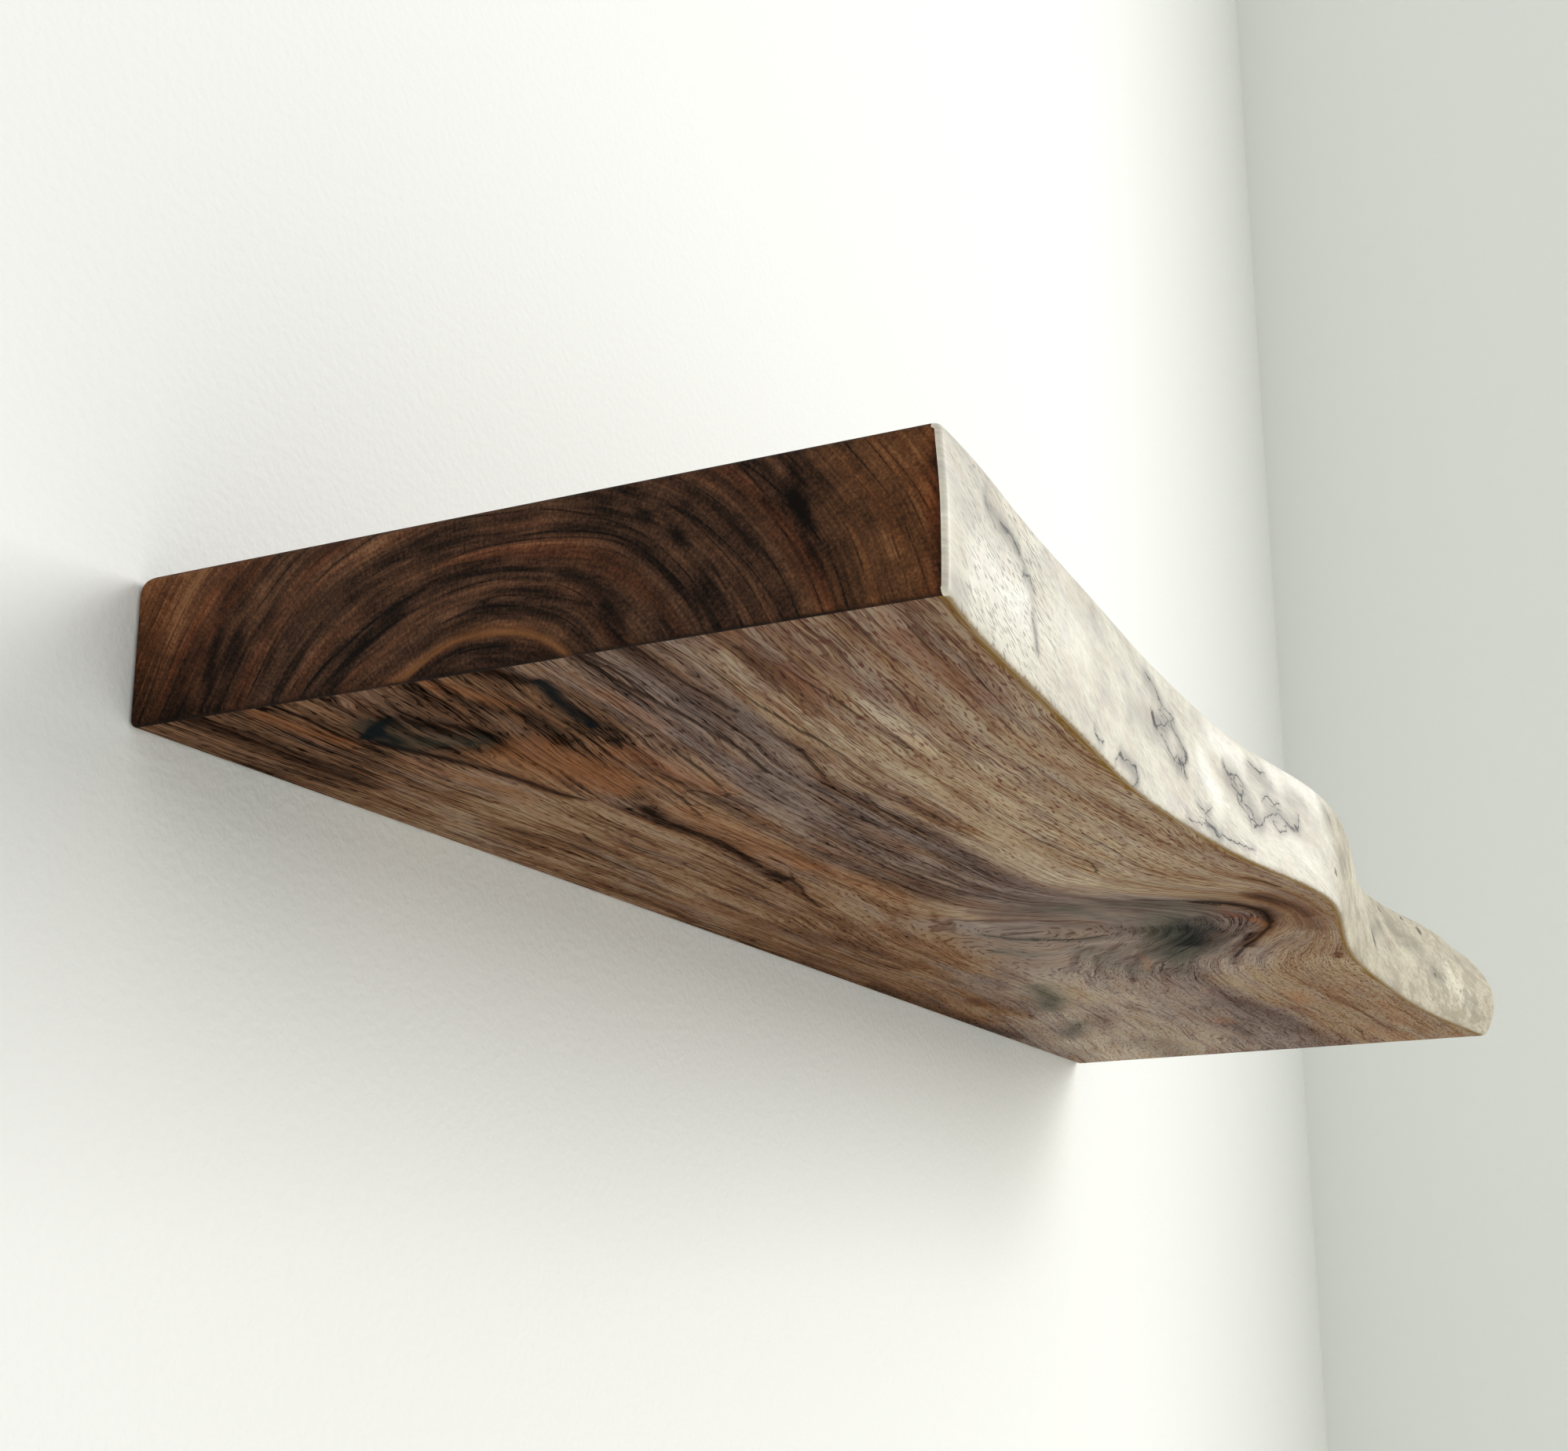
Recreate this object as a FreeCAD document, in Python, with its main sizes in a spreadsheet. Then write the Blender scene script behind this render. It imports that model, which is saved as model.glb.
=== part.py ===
import FreeCAD, Part
import math
import operator
import os
import Sketcher

# A floating wall shelf: a live-edge walnut plank that slides onto three steel rods.
# The rods are bolted to a flat steel bar, and the bar is screwed to the wall with plugs.
#
# Frame, in mm: the wall is the plane y = 0 and the room is at -Y; X runs along the wall and
# Z is up. The origin is on the wall, at the middle of the bar's rear face.

DRIVING_SIZES = [
    # the plank
    ("slab_length", 700.0),
    ("slab_depth", 226.0),
    ("slab_thickness", 40.0),
    ("bark_belly", 1.0),
    ("bark_far_swell", 14.0),
    ("blank_allowance", 40.0),
    ("arris_front_top", 1.6),
    ("arris_front_under", 1.3),
    ("arris_back_top", 5.0),
    ("arris_back_under", 2.0),
    ("arris_end", 1.5),
    # the wall bar
    ("bar_end_inset", 70.0),
    ("bar_height", 25.0),
    ("bar_thickness", 6.0),
    ("bar_corner", 5.0),
    ("bar_edge_break", 0.5),
    ("recess_clearance", 0.5),
    # the rods and their bolts
    ("rod_end_inset", 55.0),
    ("rod_radius", 6.0),
    ("rod_length", 150.0),
    ("rod_chamfer", 0.8),
    ("rod_fit", 0.1),
    ("bore_spare_depth", 4.0),
    ("bolt_radius", 3.0),
    ("bolt_length", 20.0),
    ("bolt_head_radius", 6.0),
    ("bolt_key_flats", 4.0),
    ("bolt_key_depth", 2.2),
    ("tapping_depth", 20.0),
    ("thread_gap", 0.05),
    ("bolt_hole_gap", 0.3),
    ("head_gap", 0.1),
    # the wall screws and plugs
    ("screw_end_inset", 18.0),
    ("screw_radius", 2.5),
    ("screw_length", 60.0),
    ("screw_point", 5.0),
    ("screw_head_radius", 4.6),
    ("screw_hole_gap", 0.3),
    ("cross_span", 5.2),
    ("cross_web", 1.2),
    ("cross_depth", 2.4),
    ("plug_radius", 4.0),
    ("plug_length", 50.0),
    ("plug_set_depth", 3.0),
    ("plug_collar", 12.0),
    ("plug_bore_gap", 0.1),
    ("plug_slit", 1.2),
    ("plug_leg_step", 0.3),
]

# How far the bark line stands back from slab_depth, at its control stations: on the underside
# and on the top. The first and the last station lie beyond the sawn ends of the plank.
SET_BACKS_UNDER = [-14.0, 1.0, 7.0, 11.0, 19.0, 18.5, 15.0, 3.0, 16.5, 28.0, 30.0, 32.0, 29.5, 22.0, 15.0]
SET_BACKS_TOP = [2.0, -2.0, 6.5, 9.5, 15.0, 17.5, 18.5, 9.5, 14.0, 25.5, 39.0, 36.0, 27.0, 34.0, 24.0]
STATIONS = len(SET_BACKS_UNDER)
STEPS_ON_PLANK = STATIONS - 3
SWELL_POWER = 8
HEX_CORNER = 2 / math.sqrt(3)
COUNTERSINK = 90.0
NEARLY = 0.001


class Size:
    """A number of the model together with the spreadsheet formula that gives it."""

    def __init__(self, value, formula):
        self.value = value
        self.formula = formula

    def joined(self, sign, work, other, swapped=False):
        if not isinstance(other, Size):
            other = Size(float(other), repr(float(other)))
        first, second = (other, self) if swapped else (self, other)
        return Size(work(first.value, second.value), f"({first.formula} {sign} {second.formula})")

    def __add__(self, other):
        return self.joined("+", operator.add, other)

    def __radd__(self, other):
        return self.joined("+", operator.add, other, swapped=True)

    def __sub__(self, other):
        return self.joined("-", operator.sub, other)

    def __mul__(self, other):
        return self.joined("*", operator.mul, other)

    def __rmul__(self, other):
        return self.joined("*", operator.mul, other, swapped=True)

    def __truediv__(self, other):
        return self.joined("/", operator.truediv, other)

    def __neg__(self):
        return Size(-self.value, f"(-1 * {self.formula})")


ZERO = Size(0.0, "0")

doc = FreeCAD.newDocument("floating_wall_shelf")


def fill_sheet():
    """The spreadsheet: a name and a plain number on each row. Returns the sizes by name."""
    sheet = doc.addObject("Spreadsheet::Sheet", "Sizes")
    rows = list(DRIVING_SIZES)
    rows += [(f"under_{n}", value) for n, value in enumerate(SET_BACKS_UNDER)]
    rows += [(f"top_{n}", value) for n, value in enumerate(SET_BACKS_TOP)]
    for row, (name, value) in enumerate(rows, start=1):
        sheet.set(f"A{row}", name)
        sheet.set(f"B{row}", str(value))
        sheet.setAlias(f"B{row}", name)
    doc.recompute()
    return {name: Size(value, f"Sizes.{name}") for name, value in rows}


size = fill_sheet()


# ---------------------------------------------------------------- sketching


def new_body(name):
    body = doc.addObject("PartDesign::Body", name)
    body.Label = name
    return body


def new_sketch(body, name, plane_role, lift=ZERO):
    """A sketch on one of the body's own origin planes, lifted along the plane's normal."""
    plane = next(p for p in body.Origin.OriginFeatures if p.Role == plane_role)
    sketch = body.newObject("Sketcher::SketchObject", name)
    sketch.AttachmentSupport = (plane, [""])
    sketch.MapMode = "FlatFace"
    sketch.setExpression("AttachmentOffset.Base.z", lift.formula)
    return sketch


def bind(sketch, kind, where, target):
    """One dimension of a sketch, driven by the formula of its target size."""
    index = sketch.addConstraint(Sketcher.Constraint(kind, *where, target.value))
    sketch.setExpression(f"Constraints[{index}]", target.formula)


def pin_point(sketch, geometry, vertex, place):
    """Hold a point of the sketch at a place, measured from the sketch's origin."""
    on_axis = {"DistanceX": -2, "DistanceY": -1}
    for kind, distance in zip(("DistanceX", "DistanceY"), place):
        if distance.formula == "0":
            sketch.addConstraint(Sketcher.Constraint("PointOnObject", geometry, vertex, on_axis[kind]))
        elif distance.value < 0:
            bind(sketch, kind, (geometry, vertex, -1, 1), -distance)
        else:
            bind(sketch, kind, (-1, 1, geometry, vertex), distance)


def vector(place):
    return FreeCAD.Vector(place[0].value, place[1].value, 0)


def draw_outline(sketch, places):
    """A closed outline of straight lines through the places."""
    lines = []
    for start, end in zip(places, places[1:] + places[:1]):
        lines.append(sketch.addGeometry(Part.LineSegment(vector(start), vector(end)), False))
    for line, following in zip(lines, lines[1:] + lines[:1]):
        sketch.addConstraint(Sketcher.Constraint("Coincident", line, 2, following, 1))
    for line, place in zip(lines, places):
        pin_point(sketch, line, 1, place)


def draw_rectangle(sketch, half_width, half_height):
    draw_outline(
        sketch,
        [
            (-half_width, -half_height),
            (half_width, -half_height),
            (half_width, half_height),
            (-half_width, half_height),
        ],
    )


def draw_circle(sketch, place, radius):
    circle = sketch.addGeometry(Part.Circle(vector(place), FreeCAD.Vector(0, 0, 1), radius.value), False)
    bind(sketch, "Radius", (circle,), radius)
    pin_point(sketch, circle, 3, place)


def draw_smooth_line(sketch, places):
    """A cubic B-spline whose control points are held at the places."""
    spline = Part.BSplineCurve()
    spline.buildFromPoles([vector(place) for place in places], False, 3)
    curve = sketch.addGeometry(spline, False)
    handles = []
    for number, place in enumerate(places):
        handle = sketch.addGeometry(Part.Circle(vector(place), FreeCAD.Vector(0, 0, 1), 1.0), True)
        sketch.addConstraint(
            Sketcher.Constraint("InternalAlignment:Sketcher::BSplineControlPoint", handle, 3, curve, number)
        )
        handles.append(handle)
    sketch.addConstraint(Sketcher.Constraint("Weight", handles[0], 1.0))
    for handle in handles[1:]:
        sketch.addConstraint(Sketcher.Constraint("Equal", handles[0], handle))
    for handle, place in zip(handles, places):
        pin_point(sketch, handle, 3, place)
    return curve


# ---------------------------------------------------------------- solid features


def pad(body, sketch, length, midplane=False, reverse=False):
    feature = body.newObject("PartDesign::Pad", f"{sketch.Name}_pad")
    feature.Profile = sketch
    feature.setExpression("Length", length.formula)
    feature.Midplane = midplane
    feature.Reversed = reverse
    doc.recompute()
    return feature


def cut_away(body, feature):
    """Recompute a cutting feature and make sure that it did take material away."""
    before = body.Shape.Volume
    doc.recompute()
    if feature.Shape.isNull() or feature.Shape.Volume >= before - NEARLY:
        raise RuntimeError(f"{feature.Name} cuts nothing")
    return feature


def pocket(body, sketch, depth=None, reverse=False):
    """A pocket of a given depth, or through everything."""
    feature = body.newObject("PartDesign::Pocket", f"{sketch.Name}_cut")
    feature.Profile = sketch
    feature.Reversed = reverse
    if depth is None:
        feature.Type = "ThroughAll"
    else:
        feature.setExpression("Length", depth.formula)
    return cut_away(body, feature)


def drill(body, sketch, radius, depth=None, head_radius=None, reverse=False):
    """Holes at the circles of a sketch: blind with a flat floor, or through and countersunk."""
    doc.recompute()
    feature = body.newObject("PartDesign::Hole", f"{sketch.Name}_holes")
    feature.Profile = sketch
    feature.Reversed = reverse
    feature.ThreadType = "None"
    feature.setExpression("Diameter", (2 * radius).formula)
    if depth is None:
        feature.DepthType = "ThroughAll"
    else:
        feature.DepthType = "Dimension"
        feature.DrillPoint = "Flat"
        feature.setExpression("Depth", depth.formula)
    if head_radius is not None:
        feature.HoleCutType = "Countersink"
        feature.HoleCutCustomValues = True
        feature.HoleCutCountersinkAngle = COUNTERSINK
        feature.setExpression("HoleCutDiameter", (2 * head_radius).formula)
    return cut_away(body, feature)


def revolve(body, sketch):
    """Turn a half profile about the sketch's upright axis."""
    feature = body.newObject("PartDesign::Revolution", f"{sketch.Name}_turned")
    feature.Profile = sketch
    feature.ReferenceAxis = (sketch, ["V_Axis"])
    feature.Angle = 360.0
    doc.recompute()
    return feature


def edge_names(feature, wanted):
    names = []
    for number, edge in enumerate(feature.Shape.Edges, start=1):
        if wanted(edge):
            names.append(f"Edge{number}")
    if not names:
        raise RuntimeError(f"no such edge on {feature.Name}")
    return names


def soften(body, feature, wanted, amount, kind="Fillet"):
    """Fillet or chamfer the edges of the last feature that pass the test wanted(edge)."""
    names = edge_names(feature, wanted)
    softened = body.newObject(f"PartDesign::{kind}", f"{feature.Name}_{kind.lower()}")
    softened.Base = (feature, names)
    softened.setExpression("Radius" if kind == "Fillet" else "Size", amount.formula)
    doc.recompute()
    return softened


def all_at(edge, axis, value):
    """True if the whole edge lies in the plane where the named coordinate has this value."""
    low = getattr(edge.BoundBox, f"{axis}Min")
    high = getattr(edge.BoundBox, f"{axis}Max")
    return abs(low - value) < NEARLY and abs(high - value) < NEARLY


def runs_along(edge, axis):
    """True if the edge is a straight line along the named axis."""
    if not isinstance(edge.Curve, Part.Line):
        return False
    return abs(abs(getattr(edge.Curve.Direction, axis.lower())) - 1) < NEARLY


# ---------------------------------------------------------------- shared places

half_length = size["slab_length"] / 2
half_thickness = size["slab_thickness"] / 2
bar_half_length = half_length - size["bar_end_inset"]
outer_rod = bar_half_length - size["rod_end_inset"]
rod_places = {"left": -outer_rod, "centre": ZERO, "right": outer_rod}
# the outer screws stand near the bar's ends, the inner ones midway between two rods
outer_screw = bar_half_length - size["screw_end_inset"]
inner_screw = outer_rod / 2
screw_places = [-outer_screw, -inner_screw, inner_screw, outer_screw]
recess_depth = size["bar_thickness"] + size["recess_clearance"]
bolt_seat_radius = size["bolt_head_radius"] + size["head_gap"]
screw_seat_radius = size["screw_head_radius"] + size["head_gap"]


# ---------------------------------------------------------------- the plank


def bark_outline(sketch, set_backs):
    """The waste in front of the bark line, as a closed outline seen from above."""
    step = size["slab_length"] / STEPS_ON_PLANK
    line = []
    for number, set_back in enumerate(set_backs):
        along = (number - 1) * step - half_length
        line.append((along, set_back - size["slab_depth"]))
    waste_front = -(size["slab_depth"] + 2 * size["blank_allowance"])
    near = (line[0][0], waste_front)
    far = (line[-1][0], waste_front)
    bark = draw_smooth_line(sketch, line)
    corners = [line[-1], far, near, line[0]]
    edges = []
    for start, end in zip(corners, corners[1:]):
        edges.append(sketch.addGeometry(Part.LineSegment(vector(start), vector(end)), False))
    sketch.addConstraint(Sketcher.Constraint("Coincident", bark, 2, edges[0], 1))
    sketch.addConstraint(Sketcher.Constraint("Coincident", edges[0], 2, edges[1], 1))
    sketch.addConstraint(Sketcher.Constraint("Coincident", edges[1], 2, edges[2], 1))
    sketch.addConstraint(Sketcher.Constraint("Coincident", edges[2], 2, bark, 1))
    pin_point(sketch, edges[1], 1, far)
    pin_point(sketch, edges[1], 2, near)


def bark_set_backs():
    """Control values of the bark line on the underside, at mid-thickness and on the top."""
    under = [size[f"under_{n}"] for n in range(STATIONS)]
    top = [size[f"top_{n}"] for n in range(STATIONS)]
    middle = []
    for number in range(STATIONS):
        towards_far = (number / (STATIONS - 1)) ** SWELL_POWER
        belly = size["bark_belly"] + towards_far * size["bark_far_swell"]
        middle.append((under[number] + top[number]) / 2 - belly)
    return [(-half_thickness, under), (ZERO, middle), (half_thickness, top)]


def make_slab():
    """The plank: a sawn board, its live edge lofted, a recess for the bar and bores for the rods."""
    body = new_body("slab")
    board = new_sketch(body, "board", "XY_Plane")
    front = -(size["slab_depth"] + size["blank_allowance"])
    draw_outline(board, [(-half_length, front), (half_length, front), (half_length, ZERO), (-half_length, ZERO)])
    pad(body, board, size["slab_thickness"], midplane=True)

    sections = []
    for height, set_backs in bark_set_backs():
        section = new_sketch(body, f"bark_line_{len(sections)}", "XY_Plane", height)
        bark_outline(section, set_backs)
        sections.append(section)
    doc.recompute()
    live_edge = body.newObject("PartDesign::SubtractiveLoft", "live_edge")
    live_edge.Profile = sections[0]
    live_edge.Sections = sections[1:]
    last = cut_away(body, live_edge)

    top = half_thickness.value
    end = half_length.value

    def on_bark(edge, height):
        return all_at(edge, "Z", height) and not runs_along(edge, "X") and not runs_along(edge, "Y")

    def on_back(edge, height):
        return all_at(edge, "Z", height) and all_at(edge, "Y", 0)

    last = soften(body, last, lambda edge: on_bark(edge, top), size["arris_front_top"], kind="Chamfer")
    last = soften(body, last, lambda edge: on_bark(edge, -top), size["arris_front_under"], kind="Chamfer")
    last = soften(body, last, lambda edge: on_back(edge, top), size["arris_back_top"])
    last = soften(body, last, lambda edge: on_back(edge, -top), size["arris_back_under"])

    def on_end(edge):
        return all_at(edge, "X", end) or all_at(edge, "X", -end)

    soften(body, last, on_end, size["arris_end"])

    recess = new_sketch(body, "recess", "XZ_Plane")
    recess_half_length = bar_half_length + size["recess_clearance"]
    recess_half_height = size["bar_height"] / 2 + size["recess_clearance"]
    draw_rectangle(recess, recess_half_length, recess_half_height)
    last = pocket(body, recess, recess_depth, reverse=True)
    side = recess_half_length.value

    def recess_corner(edge):
        return runs_along(edge, "Y") and abs(abs(edge.CenterOfMass.x) - side) < NEARLY

    soften(body, last, recess_corner, size["bar_corner"] + size["recess_clearance"])

    bores = new_sketch(body, "rod_bores", "XZ_Plane")
    bore_radius = size["rod_radius"] + size["rod_fit"]
    for place in rod_places.values():
        draw_circle(bores, (place, ZERO), bore_radius)
    bore_depth = size["bar_thickness"] + size["rod_length"] + size["bore_spare_depth"]
    drill(body, bores, bore_radius, depth=bore_depth, reverse=True)
    return body


# ---------------------------------------------------------------- the wall bar


def make_wall_bar():
    """A flat steel bar, countersunk in front for wall screws and behind for the rods' bolts."""
    body = new_body("wall_bar")
    blank = new_sketch(body, "bar_blank", "XZ_Plane")
    draw_rectangle(blank, bar_half_length, size["bar_height"] / 2)
    last = pad(body, blank, size["bar_thickness"])
    last = soften(body, last, lambda edge: runs_along(edge, "Y"), size["bar_corner"])
    front = -size["bar_thickness"].value
    soften(body, last, lambda edge: all_at(edge, "Y", front), size["bar_edge_break"], kind="Chamfer")

    screw_holes = new_sketch(body, "screw_holes", "XZ_Plane", size["bar_thickness"])
    screw_hole_radius = size["screw_radius"] + size["screw_hole_gap"]
    for place in screw_places:
        draw_circle(screw_holes, (place, ZERO), screw_hole_radius)
    drill(body, screw_holes, screw_hole_radius, head_radius=screw_seat_radius)

    bolt_holes = new_sketch(body, "bolt_holes", "XZ_Plane")
    bolt_hole_radius = size["bolt_radius"] + size["bolt_hole_gap"]
    for place in rod_places.values():
        draw_circle(bolt_holes, (place, ZERO), bolt_hole_radius)
    drill(body, bolt_holes, bolt_hole_radius, head_radius=bolt_seat_radius, reverse=True)
    return body


# ---------------------------------------------------------------- rods and bolts


def turned_body(name, place, profile):
    """A round piece from its half profile, (radius, y) by (radius, y), set at a place along the bar."""
    body = new_body(name)
    half = new_sketch(body, f"{name}_half", "XY_Plane")
    draw_outline(half, profile)
    revolve(body, half)
    body.setExpression("Placement.Base.x", place.formula)
    return body


def make_rod(side, place):
    """A support rod: it stands on the bar's face and is tapped at its root for the bolt."""
    root = -size["bar_thickness"]
    nose = root - size["rod_length"]
    radius = size["rod_radius"]
    thread = size["bolt_radius"] + size["thread_gap"]
    tapping_end = root - size["tapping_depth"]
    return turned_body(
        f"rod_{side}",
        place,
        [
            (thread, root),
            (radius, root),
            (radius, nose + size["rod_chamfer"]),
            (radius - size["rod_chamfer"], nose),
            (ZERO, nose),
            (ZERO, tapping_end),
            (thread, tapping_end),
        ],
    )


def make_rod_bolt(side, place):
    """A countersunk machine screw that holds a rod from behind the bar, with a hexagon socket."""
    head_face = -size["head_gap"]
    head_radius = size["bolt_head_radius"]
    shank = size["bolt_radius"]
    tip = head_face - size["bolt_length"]
    body = turned_body(
        f"rod_bolt_{side}",
        place,
        [
            (ZERO, head_face),
            (head_radius, head_face),
            (shank, head_face - (head_radius - shank)),
            (shank, tip),
            (ZERO, tip),
        ],
    )
    socket = new_sketch(body, f"socket_{side}", "XZ_Plane", size["head_gap"])
    half_flats = size["bolt_key_flats"] / 2
    corner = half_flats * HEX_CORNER
    draw_outline(
        socket,
        [
            (half_flats, corner / 2),
            (ZERO, corner),
            (-half_flats, corner / 2),
            (-half_flats, -corner / 2),
            (ZERO, -corner),
            (half_flats, -corner / 2),
        ],
    )
    pocket(body, socket, size["bolt_key_depth"], reverse=True)
    return body


# ---------------------------------------------------------------- wall screws and plugs


def make_wall_screw(number, place):
    """A countersunk wood screw with a cross recess; its head lies just below the bar's face."""
    head_face = size["head_gap"] - size["bar_thickness"]
    head_radius = size["screw_head_radius"]
    shank = size["screw_radius"]
    tip = head_face + size["screw_length"]
    body = turned_body(
        f"wall_screw_{number}",
        place,
        [
            (ZERO, head_face),
            (head_radius, head_face),
            (shank, head_face + (head_radius - shank)),
            (shank, tip - size["screw_point"]),
            (ZERO, tip),
        ],
    )
    half_span = size["cross_span"] / 2
    half_web = size["cross_web"] / 2
    cross = new_sketch(body, f"cross_{number}", "XZ_Plane", -head_face)
    draw_outline(
        cross,
        [
            (half_span, half_web),
            (half_web, half_web),
            (half_web, half_span),
            (-half_web, half_span),
            (-half_web, half_web),
            (-half_span, half_web),
            (-half_span, -half_web),
            (-half_web, -half_web),
            (-half_web, -half_span),
            (half_web, -half_span),
            (half_web, -half_web),
            (half_span, -half_web),
        ],
    )
    pocket(body, cross, size["cross_depth"])
    return body


def make_wall_plug(number, place):
    """A nylon expansion plug: a plain collar, then two slimmer legs parted by a slit."""
    mouth = size["plug_set_depth"]
    end = mouth + size["plug_length"]
    radius = size["plug_radius"]
    bore = size["screw_radius"] + size["plug_bore_gap"]
    legs_start = mouth + size["plug_collar"]
    leg_radius = radius - size["plug_leg_step"]
    body = turned_body(
        f"wall_plug_{number}",
        place,
        [
            (bore, mouth),
            (radius, mouth),
            (radius, legs_start),
            (leg_radius, legs_start),
            (leg_radius, end),
            (bore, end),
        ],
    )
    half_slit = size["plug_slit"] / 2
    slit = new_sketch(body, f"slit_{number}", "XY_Plane")
    draw_outline(slit, [(-half_slit, legs_start), (half_slit, legs_start), (half_slit, end), (-half_slit, end)])
    cut = body.newObject("PartDesign::Pocket", f"{slit.Name}_cut")
    cut.Profile = slit
    cut.Type = "ThroughAll"
    cut.Midplane = True
    cut_away(body, cut)
    return body


# ---------------------------------------------------------------- build, test and write

pieces = [make_slab(), make_wall_bar()]
for side, place in rod_places.items():
    pieces.append(make_rod(side, place))
    pieces.append(make_rod_bolt(side, place))
for number, place in enumerate(screw_places, start=1):
    pieces.append(make_wall_screw(number, place))
    pieces.append(make_wall_plug(number, place))
doc.recompute()

for item in doc.Objects:
    if "Invalid" in item.State or "Error" in item.State:
        raise RuntimeError(f"{item.Name} is {item.State}")
for piece in pieces:
    if piece.Shape.isNull() or not piece.Shape.isValid() or len(piece.Shape.Solids) != 1:
        raise RuntimeError(f"{piece.Label} is not one valid solid")

os.makedirs("parts", exist_ok=True)
for piece in pieces:
    piece.Shape.exportStep(f"parts/{piece.Label}.step")
    box = piece.Shape.optimalBoundingBox()
    print(f"{piece.Label:16s} {piece.Shape.Volume / 1000:9.2f} cm3  x {box.XMin:8.2f} {box.XMax:8.2f}"
          f"  y {box.YMin:8.2f} {box.YMax:8.2f}  z {box.ZMin:7.2f} {box.ZMax:7.2f}")
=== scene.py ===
# %% [markdown]
# # A floating wall shelf with a live edge
#
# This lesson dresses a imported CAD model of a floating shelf: one walnut plank, 700 mm long,
# that hangs on three steel rods. The rods stand on a flat steel bar, and the bar is screwed
# to the wall. The CAD model gives every place and size. This script adds the wood, the other
# finishes, the small trim, a room and its light. The wall is the plane y = 0 and the room is
# at -Y. X runs along the wall and Z is up.
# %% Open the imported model
import math

import bpy
import numpy as np
from mathutils import Matrix, Vector
from mathutils.bvhtree import BVHTree


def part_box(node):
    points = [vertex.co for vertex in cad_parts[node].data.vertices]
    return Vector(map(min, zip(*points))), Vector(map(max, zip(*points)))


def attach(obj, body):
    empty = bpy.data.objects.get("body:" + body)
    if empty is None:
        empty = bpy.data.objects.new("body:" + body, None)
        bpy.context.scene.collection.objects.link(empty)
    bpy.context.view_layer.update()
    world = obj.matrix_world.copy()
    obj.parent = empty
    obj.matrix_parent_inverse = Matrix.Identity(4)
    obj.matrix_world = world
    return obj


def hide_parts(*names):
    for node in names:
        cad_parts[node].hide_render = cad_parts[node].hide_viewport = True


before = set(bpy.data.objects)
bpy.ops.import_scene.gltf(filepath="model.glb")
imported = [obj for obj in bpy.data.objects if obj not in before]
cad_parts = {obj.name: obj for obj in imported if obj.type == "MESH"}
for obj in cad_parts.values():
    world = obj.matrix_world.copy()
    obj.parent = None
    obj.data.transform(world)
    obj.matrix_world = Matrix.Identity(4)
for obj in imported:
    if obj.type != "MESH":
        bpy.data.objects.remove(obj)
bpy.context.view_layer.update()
MM = 0.001
IN_MM = (1000, 1000, 1000)
OUT_IN_MM = (1000, -1000, 1000)
print("pieces of the frame:", sorted(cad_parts))

# %% [markdown]
# ## Colours and nodes
#
# Colours are written the way a paint card gives them, as sRGB hex codes. Blender's shaders
# work in linear light, so one function turns each code to linear. A second one adds a node,
# gives it its settings and joins its inputs, and every material below is made with it. A
# third opens a material.
# %% Three helpers
def linear(code):
    """The linear RGBA colour of an sRGB hex code such as '#8A6A50'."""
    parts = [int(code[n : n + 2], 16) / 255 for n in (1, 3, 5)]
    return [p / 12.92 if p <= 0.04045 else ((p + 0.055) / 1.055) ** 2.4 for p in parts] + [1.0]


def node(material, kind, inputs=None, stops=None, **settings):
    """Adds one shader node. An input takes a value, a colour code, a socket or a whole node."""
    made = material.node_tree.nodes.new("ShaderNode" + kind)
    for name, value in settings.items():
        setattr(made, name, value)
    for place, (at, value) in enumerate(stops or []):
        ramp = made.color_ramp.elements
        stop = ramp[place] if place < 2 else ramp.new(at)
        stop.position = at
        stop.color = linear(value) if isinstance(value, str) else [value] * 3 + [1.0]
    for name, value in (inputs or {}).items():
        if isinstance(value, bpy.types.Node):
            value = value.outputs[0]
        if isinstance(value, bpy.types.NodeSocket):
            material.node_tree.links.new(value, made.inputs[name])
        else:
            made.inputs[name].default_value = linear(value) if isinstance(value, str) else value
    return made


def new_material(name):
    """A node material with no nodes yet."""
    material = bpy.data.materials.new(name)
    material.use_nodes = True
    material.node_tree.nodes.clear()
    return material


print("walnut brown in linear light:", [round(c, 3) for c in linear("#7A5E47")])

# %% [markdown]
# ## The camera
#
# The camera stands low at the plank's near end and looks up along it, so that the sawn end,
# the underside and the live edge all show. A matrix of its own right, up and backward
# directions sets it exactly, which three Euler angles would hide.
# %% Place the camera
CAMERA_PLACE = Vector((-789.517, -409.524, -186.005)) * MM
CAMERA_TURN, CAMERA_RISE, CAMERA_ROLL = (math.radians(a) for a in (26.8400, 16.0475, 0.1583))

ahead = Vector((
    math.cos(CAMERA_RISE) * math.cos(CAMERA_TURN),
    math.cos(CAMERA_RISE) * math.sin(CAMERA_TURN),
    math.sin(CAMERA_RISE),
))
level = Vector((math.sin(CAMERA_TURN), -math.cos(CAMERA_TURN), 0))
down = -level.cross(ahead)
right = math.cos(CAMERA_ROLL) * level + math.sin(CAMERA_ROLL) * down
up = math.sin(CAMERA_ROLL) * level - math.cos(CAMERA_ROLL) * down

camera = bpy.data.objects.new("camera", bpy.data.cameras.new("camera"))
camera.data.lens = 54.168
camera.data.sensor_width = 36.0
camera.data.clip_start = 0.01
own_directions = Matrix((right, up, -ahead)).transposed().to_4x4()
camera.matrix_world = Matrix.Translation(CAMERA_PLACE) @ own_directions
bpy.context.scene.collection.objects.link(camera)
bpy.context.scene.camera = camera
print("camera at", [round(c, 3) for c in camera.location])

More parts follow.
